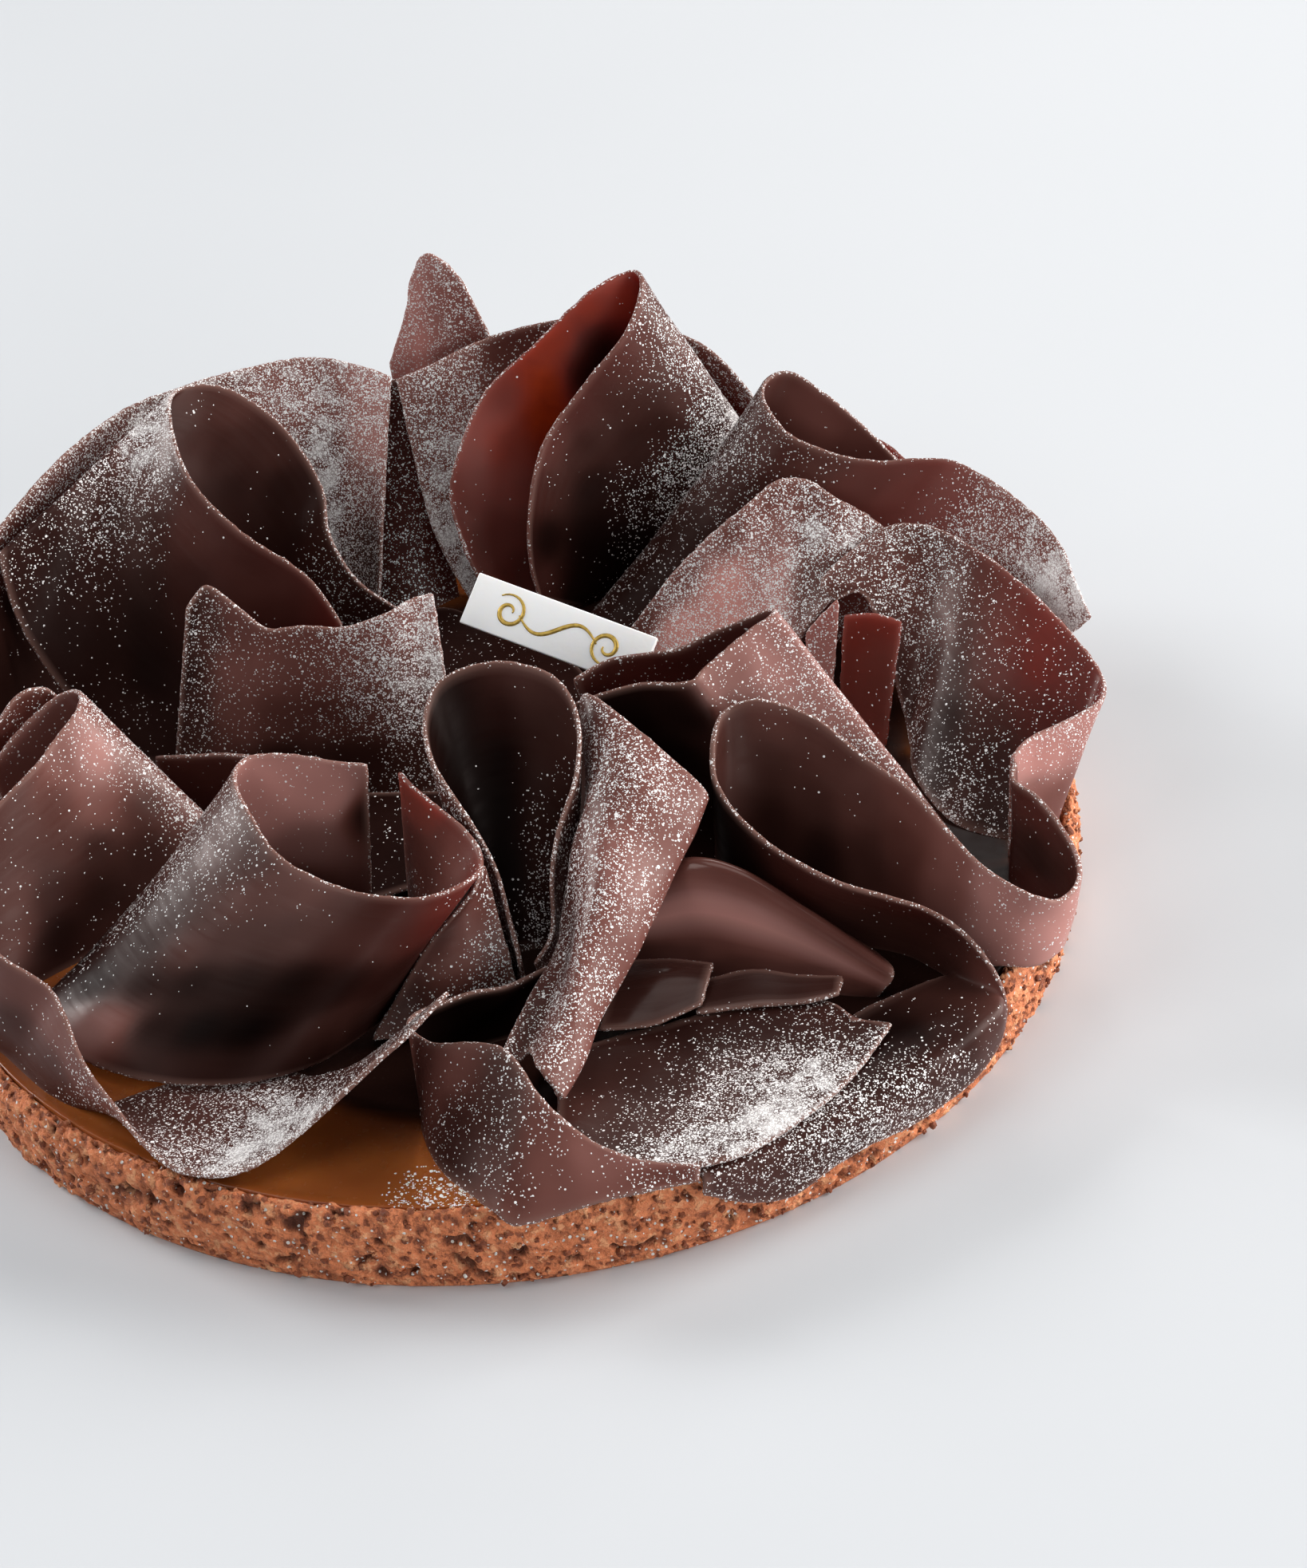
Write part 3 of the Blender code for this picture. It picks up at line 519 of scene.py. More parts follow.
def crust_material():
    seam, biscuit = (0.22, 0.056, 0.020), (0.72, 0.225, 0.088)
    tip, browned, burnt = (0.84, 0.42, 0.22), (0.58, 0.170, 0.060), (0.17, 0.036, 0.012)
    pale, crumb, painted_hole_shade = (0.86, 0.41, 0.20), (0.86, 0.50, 0.29), (0.09, 0.022, 0.008)
    nodes = Nodes("baked_crust")
    crag, pit, top, _ = nodes.attribute("look")
    cloud = nodes.noise(90.0, 3.0)
    grain = nodes.noise(1500.0, 3.0, 0.65)
    lump = nodes.noise(430.0, 3.0, 0.6)
    # painted light and shade: the crumbs' low places take the dark seam colour as shade, and their
    # highest places the light tip colour as light
    base = nodes.mix(nodes.span(crag, 0.05, 0.6), seam, biscuit)
    base = nodes.layers(base,
                        (crag, 0.62, 1.0, 0.0, 0.75, tip),
                        (cloud, 0.45, 0.7, 0.0, 0.5, browned),
                        (lump, 0.34, 0.48, 0.85, 0.0, burnt),
                        (lump, 0.54, 0.66, 0.0, 0.75, pale),
                        (grain, 0.60, 0.78, 0.0, 0.65, crumb))
    # painted shade in the holes
    base = nodes.mix(nodes.times(pit, 0.8), base, painted_hole_shade)
    fleck = nodes.specks(1.1, nodes.math("ADD", nodes.times(top, 0.05), 0.5), 0.22)
    base = nodes.mix(fleck, base, (0.75, 0.72, 0.68))
    nodes.set(Base_Color=base, Roughness=nodes.span(grain, 0.3, 0.8, 0.62, 0.9),
              Subsurface_Weight=0.08, Subsurface_Radius=(1.0, 0.4, 0.2),
              Subsurface_Scale=0.0008,
              Normal=nodes.bump(grain, 0.0006, 0.8, nodes.bump(lump, 0.0018, 1.0)))
    return nodes.material


def caramel_material():
    deep, golden = (0.22, 0.056, 0.013), (0.33, 0.096, 0.020)
    bubble, painted_shade_brown = (0.13, 0.04, 0.006), (0.020, 0.0075, 0.0055)
    nodes = Nodes("caramel")
    dust, painted_shade, _, _ = nodes.attribute("look")
    cloud = nodes.noise(30.0, 3.0)
    spot = nodes.noise(500.0)
    base = nodes.mix(nodes.span(cloud, 0.35, 0.65), deep, golden)
    base = nodes.layers(base, (spot, 0.68, 0.8, 0.0, 0.5, bubble))
    # painted shade: the caramel turns almost black where shade falls between the sheets, and shines
    # and glows less there
    base = nodes.mix(painted_shade, base, painted_shade_brown)
    cover = nodes.times(dust, nodes.span(nodes.noise(400.0), 0.3, 0.7, 0.4, 1.5))
    sugar = nodes.most(nodes.specks(0.36, cover, 0.62),
                       nodes.specks(0.8, nodes.times(cover, 0.3), 0.4))
    nodes.set(Base_Color=nodes.mix(sugar, base, (0.80, 0.80, 0.80)),
              Roughness=nodes.span(nodes.most(sugar, nodes.times(spot, 0.3)),
                                   0.0, 1.0, 0.22, 0.8),
              Specular_IOR_Level=nodes.span(painted_shade, 0.0, 0.6, 0.40, 0.04),
              Subsurface_Weight=nodes.span(painted_shade, 0.0, 0.5, 0.35, 0.0),
              Subsurface_Radius=(1.0, 0.38, 0.08), Subsurface_Scale=0.004, IOR=1.46,
              Normal=nodes.bump(nodes.noise(160.0), 0.0006, 0.25))
    return nodes.material


def cloudy_material(name, scale, detail, dark, light, rough):
    """A material whose colour, and roughness where it has two, drift a little."""
    nodes = Nodes(name)
    cloud = nodes.noise(scale, detail)
    if isinstance(rough, tuple):
        rough = nodes.span(cloud, 0.3, 0.7, *rough)
    nodes.set(Base_Color=nodes.mix(nodes.span(cloud, 0.3, 0.7), dark, light), Roughness=rough)
    return nodes


def sugar_material():
    return cloudy_material("icing_sugar", 2500.0, 2.0, (0.82, 0.79, 0.78),
                           (0.90, 0.87, 0.86), (0.7, 0.9)).material


def plaque_material():
    nodes = cloudy_material("white_chocolate", 150.0, 3.0, (0.95, 0.96, 0.96),
                            (0.98, 0.98, 0.97), (0.32, 0.42))
    nodes.set(Subsurface_Weight=0.25, Subsurface_Radius=(1.0, 0.8, 0.6),
              Subsurface_Scale=0.001, Normal=nodes.bump(nodes.noise(900.0), 0.0001, 0.3))
    return nodes.material


def gold_material():
    nodes = cloudy_material("gold_ink", 1400.0, 2.0, (0.42, 0.27, 0.05),
                            (0.62, 0.42, 0.10), (0.3, 0.5))
    nodes.set(Metallic=0.7)
    return nodes.material


def floor_material():
    return cloudy_material("pale_floor", 3.0, 2.0, (0.565, 0.583, 0.605),
                           (0.585, 0.603, 0.625), 0.6).material


# ------------------------------------------------------------ chocolate sheets
# How sugar and light fall on each sheet. 0 is its first side and 1 its second,
# with places as (along, down, sugar, painted light, glow). Along and down are percent
# of the sheet, sugar is the percent covered, painted light is painted light and shade
# that lightens or darkens the chocolate and pales it where above 1, and glow is the
# percent of the light behind it that comes through, which also reddens the chocolate's
# colour as a painted glow. A side with no places has the sheet's "plain" sugar, painted
# light and glow, or else PLAIN_LOOK. "gloss" makes a sheet shine, and "reach" stretches
# its places along it.
LOOKS = {
    "roll_back_left": {
        0: [(2, 15, 2, 0.8, 30), (10, 10, 0, 0.6, 25), (10, 30, 2, 0.7, 20), (15, 20, 0, 0.7, 20),
            (21, 30, 0, 0.5, 10), (23, 15, 1, 0.9, 15), (24, 70, 0, 0.15, 0), (23, 85, 8, 0.3, 0),
            (27, 55, 0, 0.2, 0), (28, 45, 4, 0.35, 0), (31, 32, 16, 0.6, 0), (32, 75, 2, 0.2, 0),
            (35, 20, 50, 1, 0), (35, 60, 10, 0.3, 0), (37, 88, 2, 0.2, 0), (39, 50, 35, 0.5, 0),
            (40, 15, 85, 1.3, 0), (45, 20, 90, 1.3, 0), (45, 50, 45, 0.6, 0), (40, 78, 10, 0.25, 0),
            (45, 90, 15, 0.3, 0)],
        1: [(52, 10, 2, 0.7, 5), (57, 5, 3, 0.8, 10), (57, 30, 0, 0.7, 15), (62, 18, 0, 0.5, 10),
            (66, 30, 0, 0.3, 10), (67, 6, 2, 0.6, 10), (71, 15, 1, 0.2, 5), (75, 26, 3, 0.25, 5),
            (82, 5, 10, 0.5, 5), (86, 20, 22, 0.5, 5), (95, 40, 15, 0.5, 5), (55, 80, 0, 0.4, 0)],
    },
    "wall_back_left": {
        1: [(10, 30, 20, 0.3, 0), (16, 58, 2, 0.2, 0), (20, 40, 2, 0.3, 0), (25, 8, 25, 0.8, 5),
            (36, 9, 45, 1.1, 5), (48, 7, 50, 1.1, 5), (58, 5, 75, 1.2, 5), (70, 10, 70, 1.6, 5),
            (81, 17, 70, 2.2, 10), (87, 17, 75, 2.6, 5), (87, 35, 90, 1.2, 5), (87, 55, 95, 1.2, 5),
            (87, 80, 80, 1, 0), (96, 13, 70, 5.5, 20), (96, 30, 50, 6, 10), (96, 49, 55, 3, 5),
            (97, 66, 45, 0.9, 0), (97, 81, 50, 0.9, 0), (50, 60, 30, 0.8, 0)],
    },
    "leaf_back": {"plain": (30, 0.5, 10)},
    "wall_back": {
        1: [(3, 10, 58, 2.2, 10), (5, 65, 95, 1.6, 0), (12, 34, 82, 2.2, 10), (16, 18, 58, 2.2, 10),
            (20, 3, 56, 2.4, 10), (31, 8, 10, 1, 15), (30, 40, 30, 0.8, 10), (60, 30, 30, 1, 10)],
    },
    "petal_back": {
        1: [(25, 25, 24, 8, 25), (33, 10, 45, 7, 20), (65, 15, 40, 3, 15), (50, 60, 35, 2, 10)],
    },
    "loop_back": {
        0: [(54, 5, 1, 1, 60), (58, 5, 1, 1, 70), (59, 15, 0, 0.1, 0), (61, 22, 0, 0.05, 0),
            (62, 34, 0, 0.05, 0), (64, 20, 0, 0.1, 0), (64, 5, 1, 2, 75), (68, 14, 0, 3, 100),
            (71, 24, 0, 3.4, 100), (71, 42, 0, 1.8, 80), (75, 5, 1, 2.4, 50), (79, 18, 1, 5.5, 70),
            (83, 32, 1, 5, 58), (86, 10, 2, 3.4, 45), (91, 8, 6, 2.2, 42), (90, 40, 1, 2.4, 46),
            (96, 30, 4, 2, 35), (93, 75, 2, 2, 45), (45, 20, 1, 0.4, 10)],
        1: [(3, 20, 2, 0.5, 10), (6, 60, 0, 0.2, 0), (10, 15, 0, 0.12, 0), (14, 40, 0, 0.1, 0),
            (16, 10, 2, 0.6, 10), (16, 62, 12, 0.1, 0), (20, 30, 0, 0.15, 0), (22, 2, 5, 1.2, 20),
            (24, 17, 0, 0.5, 10), (24, 46, 25, 0.2, 0), (28, 7, 0, 1, 30), (29, 28, 0, 0.35, 10),
            (29, 55, 55, 0.3, 0), (33, 20, 2, 0.9, 20), (34, 32, 0, 0.4, 10), (34, 48, 65, 0.3, 0),
            (36, 9, 10, 1.8, 30), (38, 30, 6, 1, 20), (42, 20, 50, 1.4, 10), (40, 46, 70, 0.5, 0),
            (46, 30, 60, 1, 10), (44, 50, 85, 0.7, 0), (30, 80, 30, 0.2, 0), (42, 80, 40, 0.3, 0),
            (12, 80, 10, 0.1, 0)],
    },
    "roll_back_right": {
        0: [(6, 10, 2, 1.3, 12), (15, 10, 1, 1.8, 15), (22, 20, 2, 1.5, 10), (40, 30, 2, 1, 10)],
        1: [(28, 30, 60, 1, 0), (32, 20, 55, 1, 0), (32, 70, 30, 0.5, 0), (37, 8, 15, 0.9, 10),
            (37, 27, 15, 0.7, 5), (37, 50, 12, 0.4, 0), (37, 72, 12, 0.35, 0), (42, 10, 6, 1.1, 10),
            (45, 50, 5, 0.5, 0), (53, 17, 1, 1.6, 30), (61, 17, 1, 2.2, 40), (67, 14, 8, 3, 35),
            (73, 5, 40, 2.6, 20), (78, 22, 55, 3, 10), (84, 8, 75, 2.6, 10), (90, 24, 110, 2.4, 5),
            (97, 30, 110, 2, 5), (85, 60, 50, 1.5, 10)],
    },
    "leaf_back_right": {"plain": (20, 1, 30)},
    "fold_right": {
        1: [(3, 10, 40, 1.6, 10), (20, 12, 60, 2.4, 20), (40, 8, 50, 1.6, 20), (56, 5, 50, 1.4, 10),
            (18, 46, 55, 11, 22), (37, 34, 50, 12, 25), (37, 70, 50, 11, 22), (55, 52, 75, 8, 22),
            (56, 28, 50, 4.5, 35), (75, 8, 50, 1.5, 10), (75, 40, 75, 1.5, 10),
            (75, 75, 50, 1.2, 10), (92, 40, 75, 1.5, 10), (30, 90, 30, 2, 10)],
    },
    "leaf_right": {"plain": (3, 1, 48)},
    "leaf_right_pale": {"plain": (35, 5, 30)},
    "wall_right": {
        0: [(80, 10, 20, 5, 15), (85, 2, 40, 6, 15), (92, 26, 12, 7, 20), (90, 70, 2, 2, 10),
            (97, 50, 2, 2.5, 10), (30, 50, 5, 0.5, 0)],
        1: [(5, 50, 35, 1.2, 10), (12, 10, 45, 1.2, 10), (18, 40, 45, 1.4, 10), (20, 66, 35, 1, 5),
            (20, 85, 20, 0.6, 0), (30, 4, 45, 1.4, 25), (36, 39, 22, 1.3, 35),
            (40, 54, 12, 0.5, 10), (44, 70, 6, 0.2, 0), (45, 7, 10, 1.4, 40), (49, 26, 12, 1.8, 42),
            (49, 85, 22, 0.3, 0), (52, 39, 12, 1.2, 38), (53, 97, 50, 0.8, 0),
            (56, 54, 10, 0.5, 15), (59, 10, 6, 1, 42), (59, 70, 20, 0.3, 5), (62, 26, 6, 0.9, 44),
            (64, 89, 22, 0.4, 0), (66, 43, 8, 0.5, 25), (72, 10, 15, 1, 30), (80, 50, 10, 0.6, 10)],
    },
    "ribbon_right": {
        0: [(5, 30, 2, 1.5, 10), (12, 30, 10, 6, 10), (17, 50, 10, 8, 10), (20, 65, 6, 5, 10),
            (21, 17, 8, 5, 10), (25, 13, 3, 2.6, 10), (25, 47, 1, 2.4, 5), (30, 13, 3, 1.9, 10),
            (30, 37, 1, 1.2, 5), (33, 52, 0, 0.6, 0), (34, 27, 1, 1.1, 5), (37, 65, 0, 0.15, 0),
            (38, 17, 2, 1.1, 5), (38, 41, 1, 0.5, 0), (41, 5, 5, 1.8, 10), (41, 27, 1, 0.6, 0),
            (41, 47, 0, 0.25, 0), (44, 22, 2, 0.9, 5), (47, 50, 0, 0.3, 0), (60, 30, 2, 0.8, 10),
            (80, 50, 2, 0.8, 10)],
        1: [(5, 10, 5, 0.9, 10), (6, 40, 0, 0.4, 0), (8, 85, 3, 1, 5), (30, 50, 2, 0.8, 5),
            (41, 30, 30, 0.8, 5), (50, 30, 0, 0.08, 0), (58, 30, 1, 0.9, 5), (62, 80, 1, 0.8, 0),
            (68, 30, 2, 0.8, 10), (72, 13, 5, 1.5, 10), (73, 84, 1, 0.5, 0), (76, 27, 8, 0.7, 0),
            (78, 52, 6, 0.3, 0), (80, 72, 0, 0.05, 0), (81, 27, 26, 0.6, 0), (84, 47, 45, 0.4, 0),
            (83, 75, 4, 0.1, 0), (85, 13, 50, 0.8, 0), (86, 68, 26, 0.3, 0), (89, 37, 70, 0.6, 0),
            (91, 55, 60, 0.5, 0), (92, 17, 45, 0.6, 0), (96, 37, 30, 0.7, 0), (97, 10, 20, 0.8, 0)],
    },
    "fold_middle": {
        0: [(5, 10, 10, 1, 10), (34, 5, 15, 1, 10), (45, 30, 20, 1.5, 10), (54, 10, 35, 3.5, 10),
            (53, 30, 40, 4, 10), (53, 60, 40, 3, 10), (53, 85, 50, 2, 10), (60, 15, 22, 5, 10),
            (60, 35, 36, 4, 10), (60, 60, 50, 2, 10), (60, 85, 50, 1.5, 10), (68, 6, 12, 3, 10),
            (70, 30, 3, 0.8, 5), (70, 70, 10, 0.6, 0), (82, 15, 0, 0.1, 0), (87, 40, 0, 0.1, 0),
            (92, 15, 0, 0.08, 0), (80, 70, 0, 0.1, 0)],
        1: [(15, 10, 8, 0.8, 10), (35, 20, 8, 0.8, 10), (20, 70, 1, 0.4, 0)],
    },
    # its inner side, 1, is painted dark as shade inside the loop
    "loop_middle": {
        0: [(15, 10, 30, 0.9, 5), (50, 10, 20, 0.8, 5), (15, 60, 30, 0.6, 0), (85, 20, 25, 0.6, 0),
            (80, 70, 10, 0.2, 0)],
        1: [(36, 60, 0, 0.05, 0), (35, 90, 5, 0.1, 0), (41, 26, 0, 0.04, 0), (43, 12, 0, 0.08, 0),
            (47, 50, 0, 0.03, 0), (49, 34, 0, 0.03, 0), (50, 16, 0, 0.2, 15), (46, 70, 0, 0.05, 0),
            (53, 5, 2, 0.8, 5), (58, 35, 3, 0.5, 0), (58, 50, 15, 0.4, 0), (57, 66, 25, 0.4, 0),
            (57, 80, 35, 0.4, 0), (56, 96, 60, 0.5, 0), (59, 15, 1, 0.45, 0), (65, 40, 10, 0.4, 0),
            (68, 70, 30, 0.5, 0)],
    },
    "band_middle": {
        0: [(10, 8, 30, 0.8, 5), (50, 8, 38, 0.8, 5), (90, 12, 30, 0.7, 5), (15, 42, 58, 1.7, 10),
            (50, 42, 56, 1.7, 10), (85, 45, 50, 1.6, 10), (10, 65, 46, 2.4, 10),
            (40, 64, 42, 2.8, 10), (70, 68, 44, 2.2, 10), (10, 88, 16, 2.2, 15),
            (30, 90, 8, 2.4, 15), (55, 92, 8, 2.6, 15), (85, 92, 14, 2.4, 15)],
    },
    "saddle_middle": {
        1: [(2, 15, 30, 0.4, 0), (3, 40, 30, 0.3, 0), (5, 60, 25, 0.5, 0), (12, 20, 30, 1, 0),
            (23, 10, 10, 1.5, 10), (23, 35, 8, 2.4, 8), (23, 57, 8, 1.8, 5), (40, 24, 12, 2.6, 8),
            (40, 53, 8, 1.3, 5), (40, 80, 2, 0.3, 0), (57, 24, 18, 2.5, 10), (57, 53, 15, 1.3, 5),
            (60, 80, 3, 0.4, 0), (72, 77, 5, 0.5, 0), (74, 28, 62, 2.2, 5), (74, 53, 40, 1.5, 0),
            (76, 5, 65, 2.4, 10), (88, 57, 65, 1.3, 0), (87, 80, 25, 0.7, 0), (89, 35, 85, 1.6, 0),
            (92, 12, 75, 3, 10)],
    },
    "roll_left": {
        0: [(76, 10, 6, 2.5, 10), (94, 10, 6, 2.5, 10), (80, 60, 2, 0.8, 0)],
        1: [(12, 10, 4, 1.1, 10), (12, 30, 3, 1.1, 10), (12, 55, 4, 1.6, 10), (12, 75, 6, 1.8, 10),
            (22, 83, 1, 0.25, 0), (23, 62, 3, 0.7, 5), (26, 44, 3, 1, 10), (28, 25, 3, 1.2, 10),
            (30, 95, 8, 0.6, 0), (33, 76, 1, 0.3, 0), (34, 8, 10, 2.4, 10), (36, 55, 2, 0.4, 5),
            (40, 40, 5, 2.2, 10), (44, 70, 2, 0.4, 0), (47, 22, 16, 6, 8), (49, 50, 3, 0.8, 5),
            (52, 35, 20, 2, 5), (57, 10, 60, 2.2, 5), (57, 36, 65, 2.2, 5), (57, 62, 60, 2, 5),
            (55, 85, 20, 0.8, 0)],
    },
    "petal_left": {"plain": (28, 1.2, 10)},
    "leaf_left": {"plain": (5, 1, 10)},
    # the cup's outer side holds a painted highlight low on the left and painted shade over its
    # lower middle
    "cup_front_left": {
        0: [(0, 30, 0, 0.15, 0), (6, 20, 6, 7, 12), (13, 25, 6, 7, 12), (8, 50, 4, 4, 10),
            (10, 70, 0, 0.4, 0), (87, 10, 3, 1.8, 25), (96, 6, 3, 2.6, 60), (95, 36, 2, 1.2, 25),
            (92, 60, 12, 1.4, 10), (50, 50, 0, 0.3, 0)],
        1: [(33, 5, 32, 0.9, 5), (33, 30, 36, 0.8, 5), (33, 55, 32, 0.5, 5), (33, 80, 15, 0.2, 0),
            (40, 12, 14, 0.8, 10), (40, 40, 10, 0.5, 10), (41, 55, 5, 0.3, 10), (41, 75, 2, 0.1, 5),
            (46, 20, 5, 1.4, 15), (46, 45, 2, 1.1, 15), (46, 66, 1, 0.2, 5), (47, 88, 0, 4, 0),
            (50, 10, 4, 1.4, 15), (50, 33, 1.5, 1, 15), (51, 56, 1, 0.15, 5), (52, 80, 1, 0.15, 0),
            (56, 25, 1.5, 1, 15), (56, 52, 1, 0.2, 5), (57, 75, 0, 0.03, 0), (57, 97, 1, 0.4, 0),
            (62, 22, 1, 0.8, 15), (62, 46, 0, 0.1, 5), (62, 72, 0, 0.03, 0), (62, 94, 2, 0.3, 0),
            (68, 22, 1, 0.8, 20), (68, 48, 0, 0.2, 5), (71, 75, 2, 0.8, 0), (74, 6, 3, 1.6, 30),
            (74, 28, 1, 0.9, 25), (74, 50, 0, 0.3, 10), (85, 30, 0, 0.8, 10), (85, 70, 0, 0.3, 0),
            (10, 50, 0, 0.6, 0)],
    },
    "ribbon_front_left": {
        0: [(20, 50, 5, 0.8, 0), (45, 50, 15, 0.8, 0), (50, 60, 20, 0.6, 0), (60, 60, 25, 0.8, 0),
            (60, 20, 60, 1, 0), (67, 8, 100, 1, 0), (68, 54, 60, 0.8, 0), (75, 37, 95, 1, 0),
            (80, 10, 90, 1, 0), (88, 10, 15, 0.6, 0), (96, 10, 30, 0.8, 0), (85, 60, 20, 0.5, 0)],
        1: [(10, 15, 1, 2, 10), (14, 65, 3, 0.9, 10), (23, 15, 3, 2.2, 10), (29, 60, 2, 0.9, 10),
            (35, 20, 26, 2, 8), (40, 60, 22, 1.3, 5), (70, 50, 5, 0.7, 5), (95, 50, 10, 0.8, 5)],
    },
    "leaf_front": {
        1: [(10, 30, 2, 1, 20), (50, 30, 3, 2.2, 30), (95, 20, 30, 1.6, 20), (50, 60, 10, 2, 10),
            (95, 60, 45, 1.2, 10), (10, 70, 5, 0.8, 0), (50, 85, 30, 1.5, 0), (95, 90, 60, 1, 0)],
    },
    # its inner side, 0, is painted almost black as shade
    "ribbon_front": {
        0: [(11, 70, 0, 0.04, 0), (20, 50, 0, 0.04, 0), (5, 20, 1, 0.1, 0), (50, 50, 1, 0.1, 0)],
        1: [(20, 50, 2, 0.5, 0), (45, 30, 4, 1.8, 10), (51, 24, 4, 2.2, 10), (52, 62, 20, 0.5, 5),
            (55, 86, 8, 0.5, 5), (61, 16, 15, 0.8, 5), (63, 43, 25, 0.6, 5), (65, 71, 25, 0.7, 5),
            (67, 93, 8, 1.6, 10), (73, 9, 15, 1.8, 10), (73, 52, 8, 1.9, 10), (74, 93, 3, 2.2, 10),
            (82, 33, 4, 2.8, 8), (91, 10, 22, 3, 10), (95, 50, 30, 1.5, 10)],
    },
    "floor_front": {
        0: [(10, 30, 5, 0.7, 0), (10, 70, 1, 0.45, 0), (23, 30, 22, 0.6, 0), (25, 66, 2, 0.4, 0),
            (32, 5, 80, 0.8, 0), (37, 66, 18, 0.4, 0), (40, 94, 1, 0.3, 0), (45, 30, 70, 0.7, 0),
            (51, 56, 60, 0.6, 0), (53, 87, 10, 0.4, 0), (60, 14, 100, 0.8, 0), (62, 46, 80, 0.6, 0),
            (67, 80, 10, 0.4, 0), (75, 27, 90, 0.7, 0), (80, 66, 22, 0.5, 0), (95, 50, 15, 0.4, 0)],
    },
    "leaf_floor_back": {"plain": (5, 0.3, 0)},
    "leaf_floor_middle": {"plain": (5, 0.2, 0)},
    # the cone's bright band along its ridge is a painted highlight
    "cone_right": {
        "gloss": 1.0, "reach": 4.0,
        1: [(15, 56, 0, 12, 0), (45, 57, 0, 10, 0), (75, 58, 0, 7, 0), (15, 42, 0, 1, 0),
            (45, 43, 0, 0.9, 0), (75, 44, 0, 0.9, 0), (90, 40, 0, 1.2, 0), (10, 78, 0, 1, 0),
            (30, 74, 0, 0.6, 0), (50, 74, 0, 0.6, 0), (90, 75, 0, 0.4, 0), (50, 20, 0, 0.4, 0),
            (20, 15, 0, 0.8, 0), (80, 15, 0, 0.6, 0)],
    },
    "plate_middle": {"plain": (1, 0.45, 0), "gloss": 0.8},
    "plate_right": {"plain": (1, 0.45, 0), "gloss": 0.8},
}
PLACE_UNITS = np.array([100.0, 100.0, 100.0, 1.0, 100.0])
PLAIN_LOOK = (14, 1.0, 10)


def sheet_grid(rows):
    """Points of a sheet's middle, from its rows drawn as curves and divided
    finely. Feet that stand at the caramel go a little into it."""
    points = np.array([[(*p, FOOT_LEVEL) if len(p) == 2 else p for p in row] for row in rows],
                      float)
    run = np.linalg.norm(np.diff(points, axis=1), axis=2).mean(0)
    drop = np.linalg.norm(np.diff(points, axis=0), axis=2).mean(1)
    low = points[-1, :, 2] < FOOT_LEVEL + 0.1
    points[-1, low, 2] -= SINK
    along = max(2, math.ceil(run.mean() / GRID_STEP))
    down = max(2, math.ceil(drop.mean() / GRID_STEP))
    grid = smooth(np.swapaxes(points, 0, 1), along)
    return np.swapaxes(smooth(np.swapaxes(grid, 0, 1), down), 0, 1)


def side_look(look, side, normal, s_mm, t_mm):
    """Sugar, painted light and shade, and glow over one side of a sheet: blended
    from the nearest places, or plain, with more sugar on what faces up."""
    if side in look:
        places = np.array(look[side]) / PLACE_UNITS
        along = s_mm[:, None, None] - places[None, None, :, 0] * s_mm[-1]
        along = along / look.get("reach", 1.0)
        down = t_mm[None, :, None] - places[None, None, :, 1] * t_mm[-1]
        weight = 1.0 / (along ** 2 + down ** 2 + PLACE_BLUR ** 2) ** 2
        weight = weight / weight.sum(-1, keepdims=True)
        return [(weight * places[:, k]).sum(-1) for k in (2, 3, 4)]
    sugar, painted_light, glow = look.get("plain", PLAIN_LOOK)
    turn = -1.0 if side else 1.0
    facing = ramp(turn * normal[..., 2] - 0.12 * turn * normal[..., 1], -0.55, 0.85)
    return [sugar / 100.0 * (0.3 + 0.7 * facing), np.full(facing.shape, painted_light),
            np.full(facing.shape, glow / 100.0)]


def ring_of(wide, tall):
    """The places round the edge of a grid, in order, as two lists of numbers."""
    ring = ([(i, 0) for i in range(wide)] + [(wide - 1, j) for j in range(1, tall)]
            + [(i, tall - 1) for i in range(wide - 2, -1, -1)]
            + [(0, j) for j in range(tall - 2, 0, -1)])
    return np.array(ring).T


def sheet_faces(wide, tall, ring_front, rims):
    """Quads of two grids back to back, joined round the edge through the rims."""
    count, around_edge = wide * tall, len(ring_front)
    index = np.arange(count).reshape(wide, tall)
    a, b = index[:-1, :-1].ravel(), index[1:, :-1].ravel()
    c, d = index[1:, 1:].ravel(), index[:-1, 1:].ravel()
    faces = [np.stack([a, b, c, d], 1), np.stack([d, c, b, a], 1) + count]
    lines = [2 * count + k * around_edge + np.arange(around_edge) for k in range(rims)]
    lines = [ring_front, *lines, ring_front + count]
    for upper, lower in zip(lines[:-1], lines[1:]):
        faces.append(np.stack([upper, lower, np.roll(lower, -1), np.roll(upper, -1)], 1))
    return np.concatenate(faces)


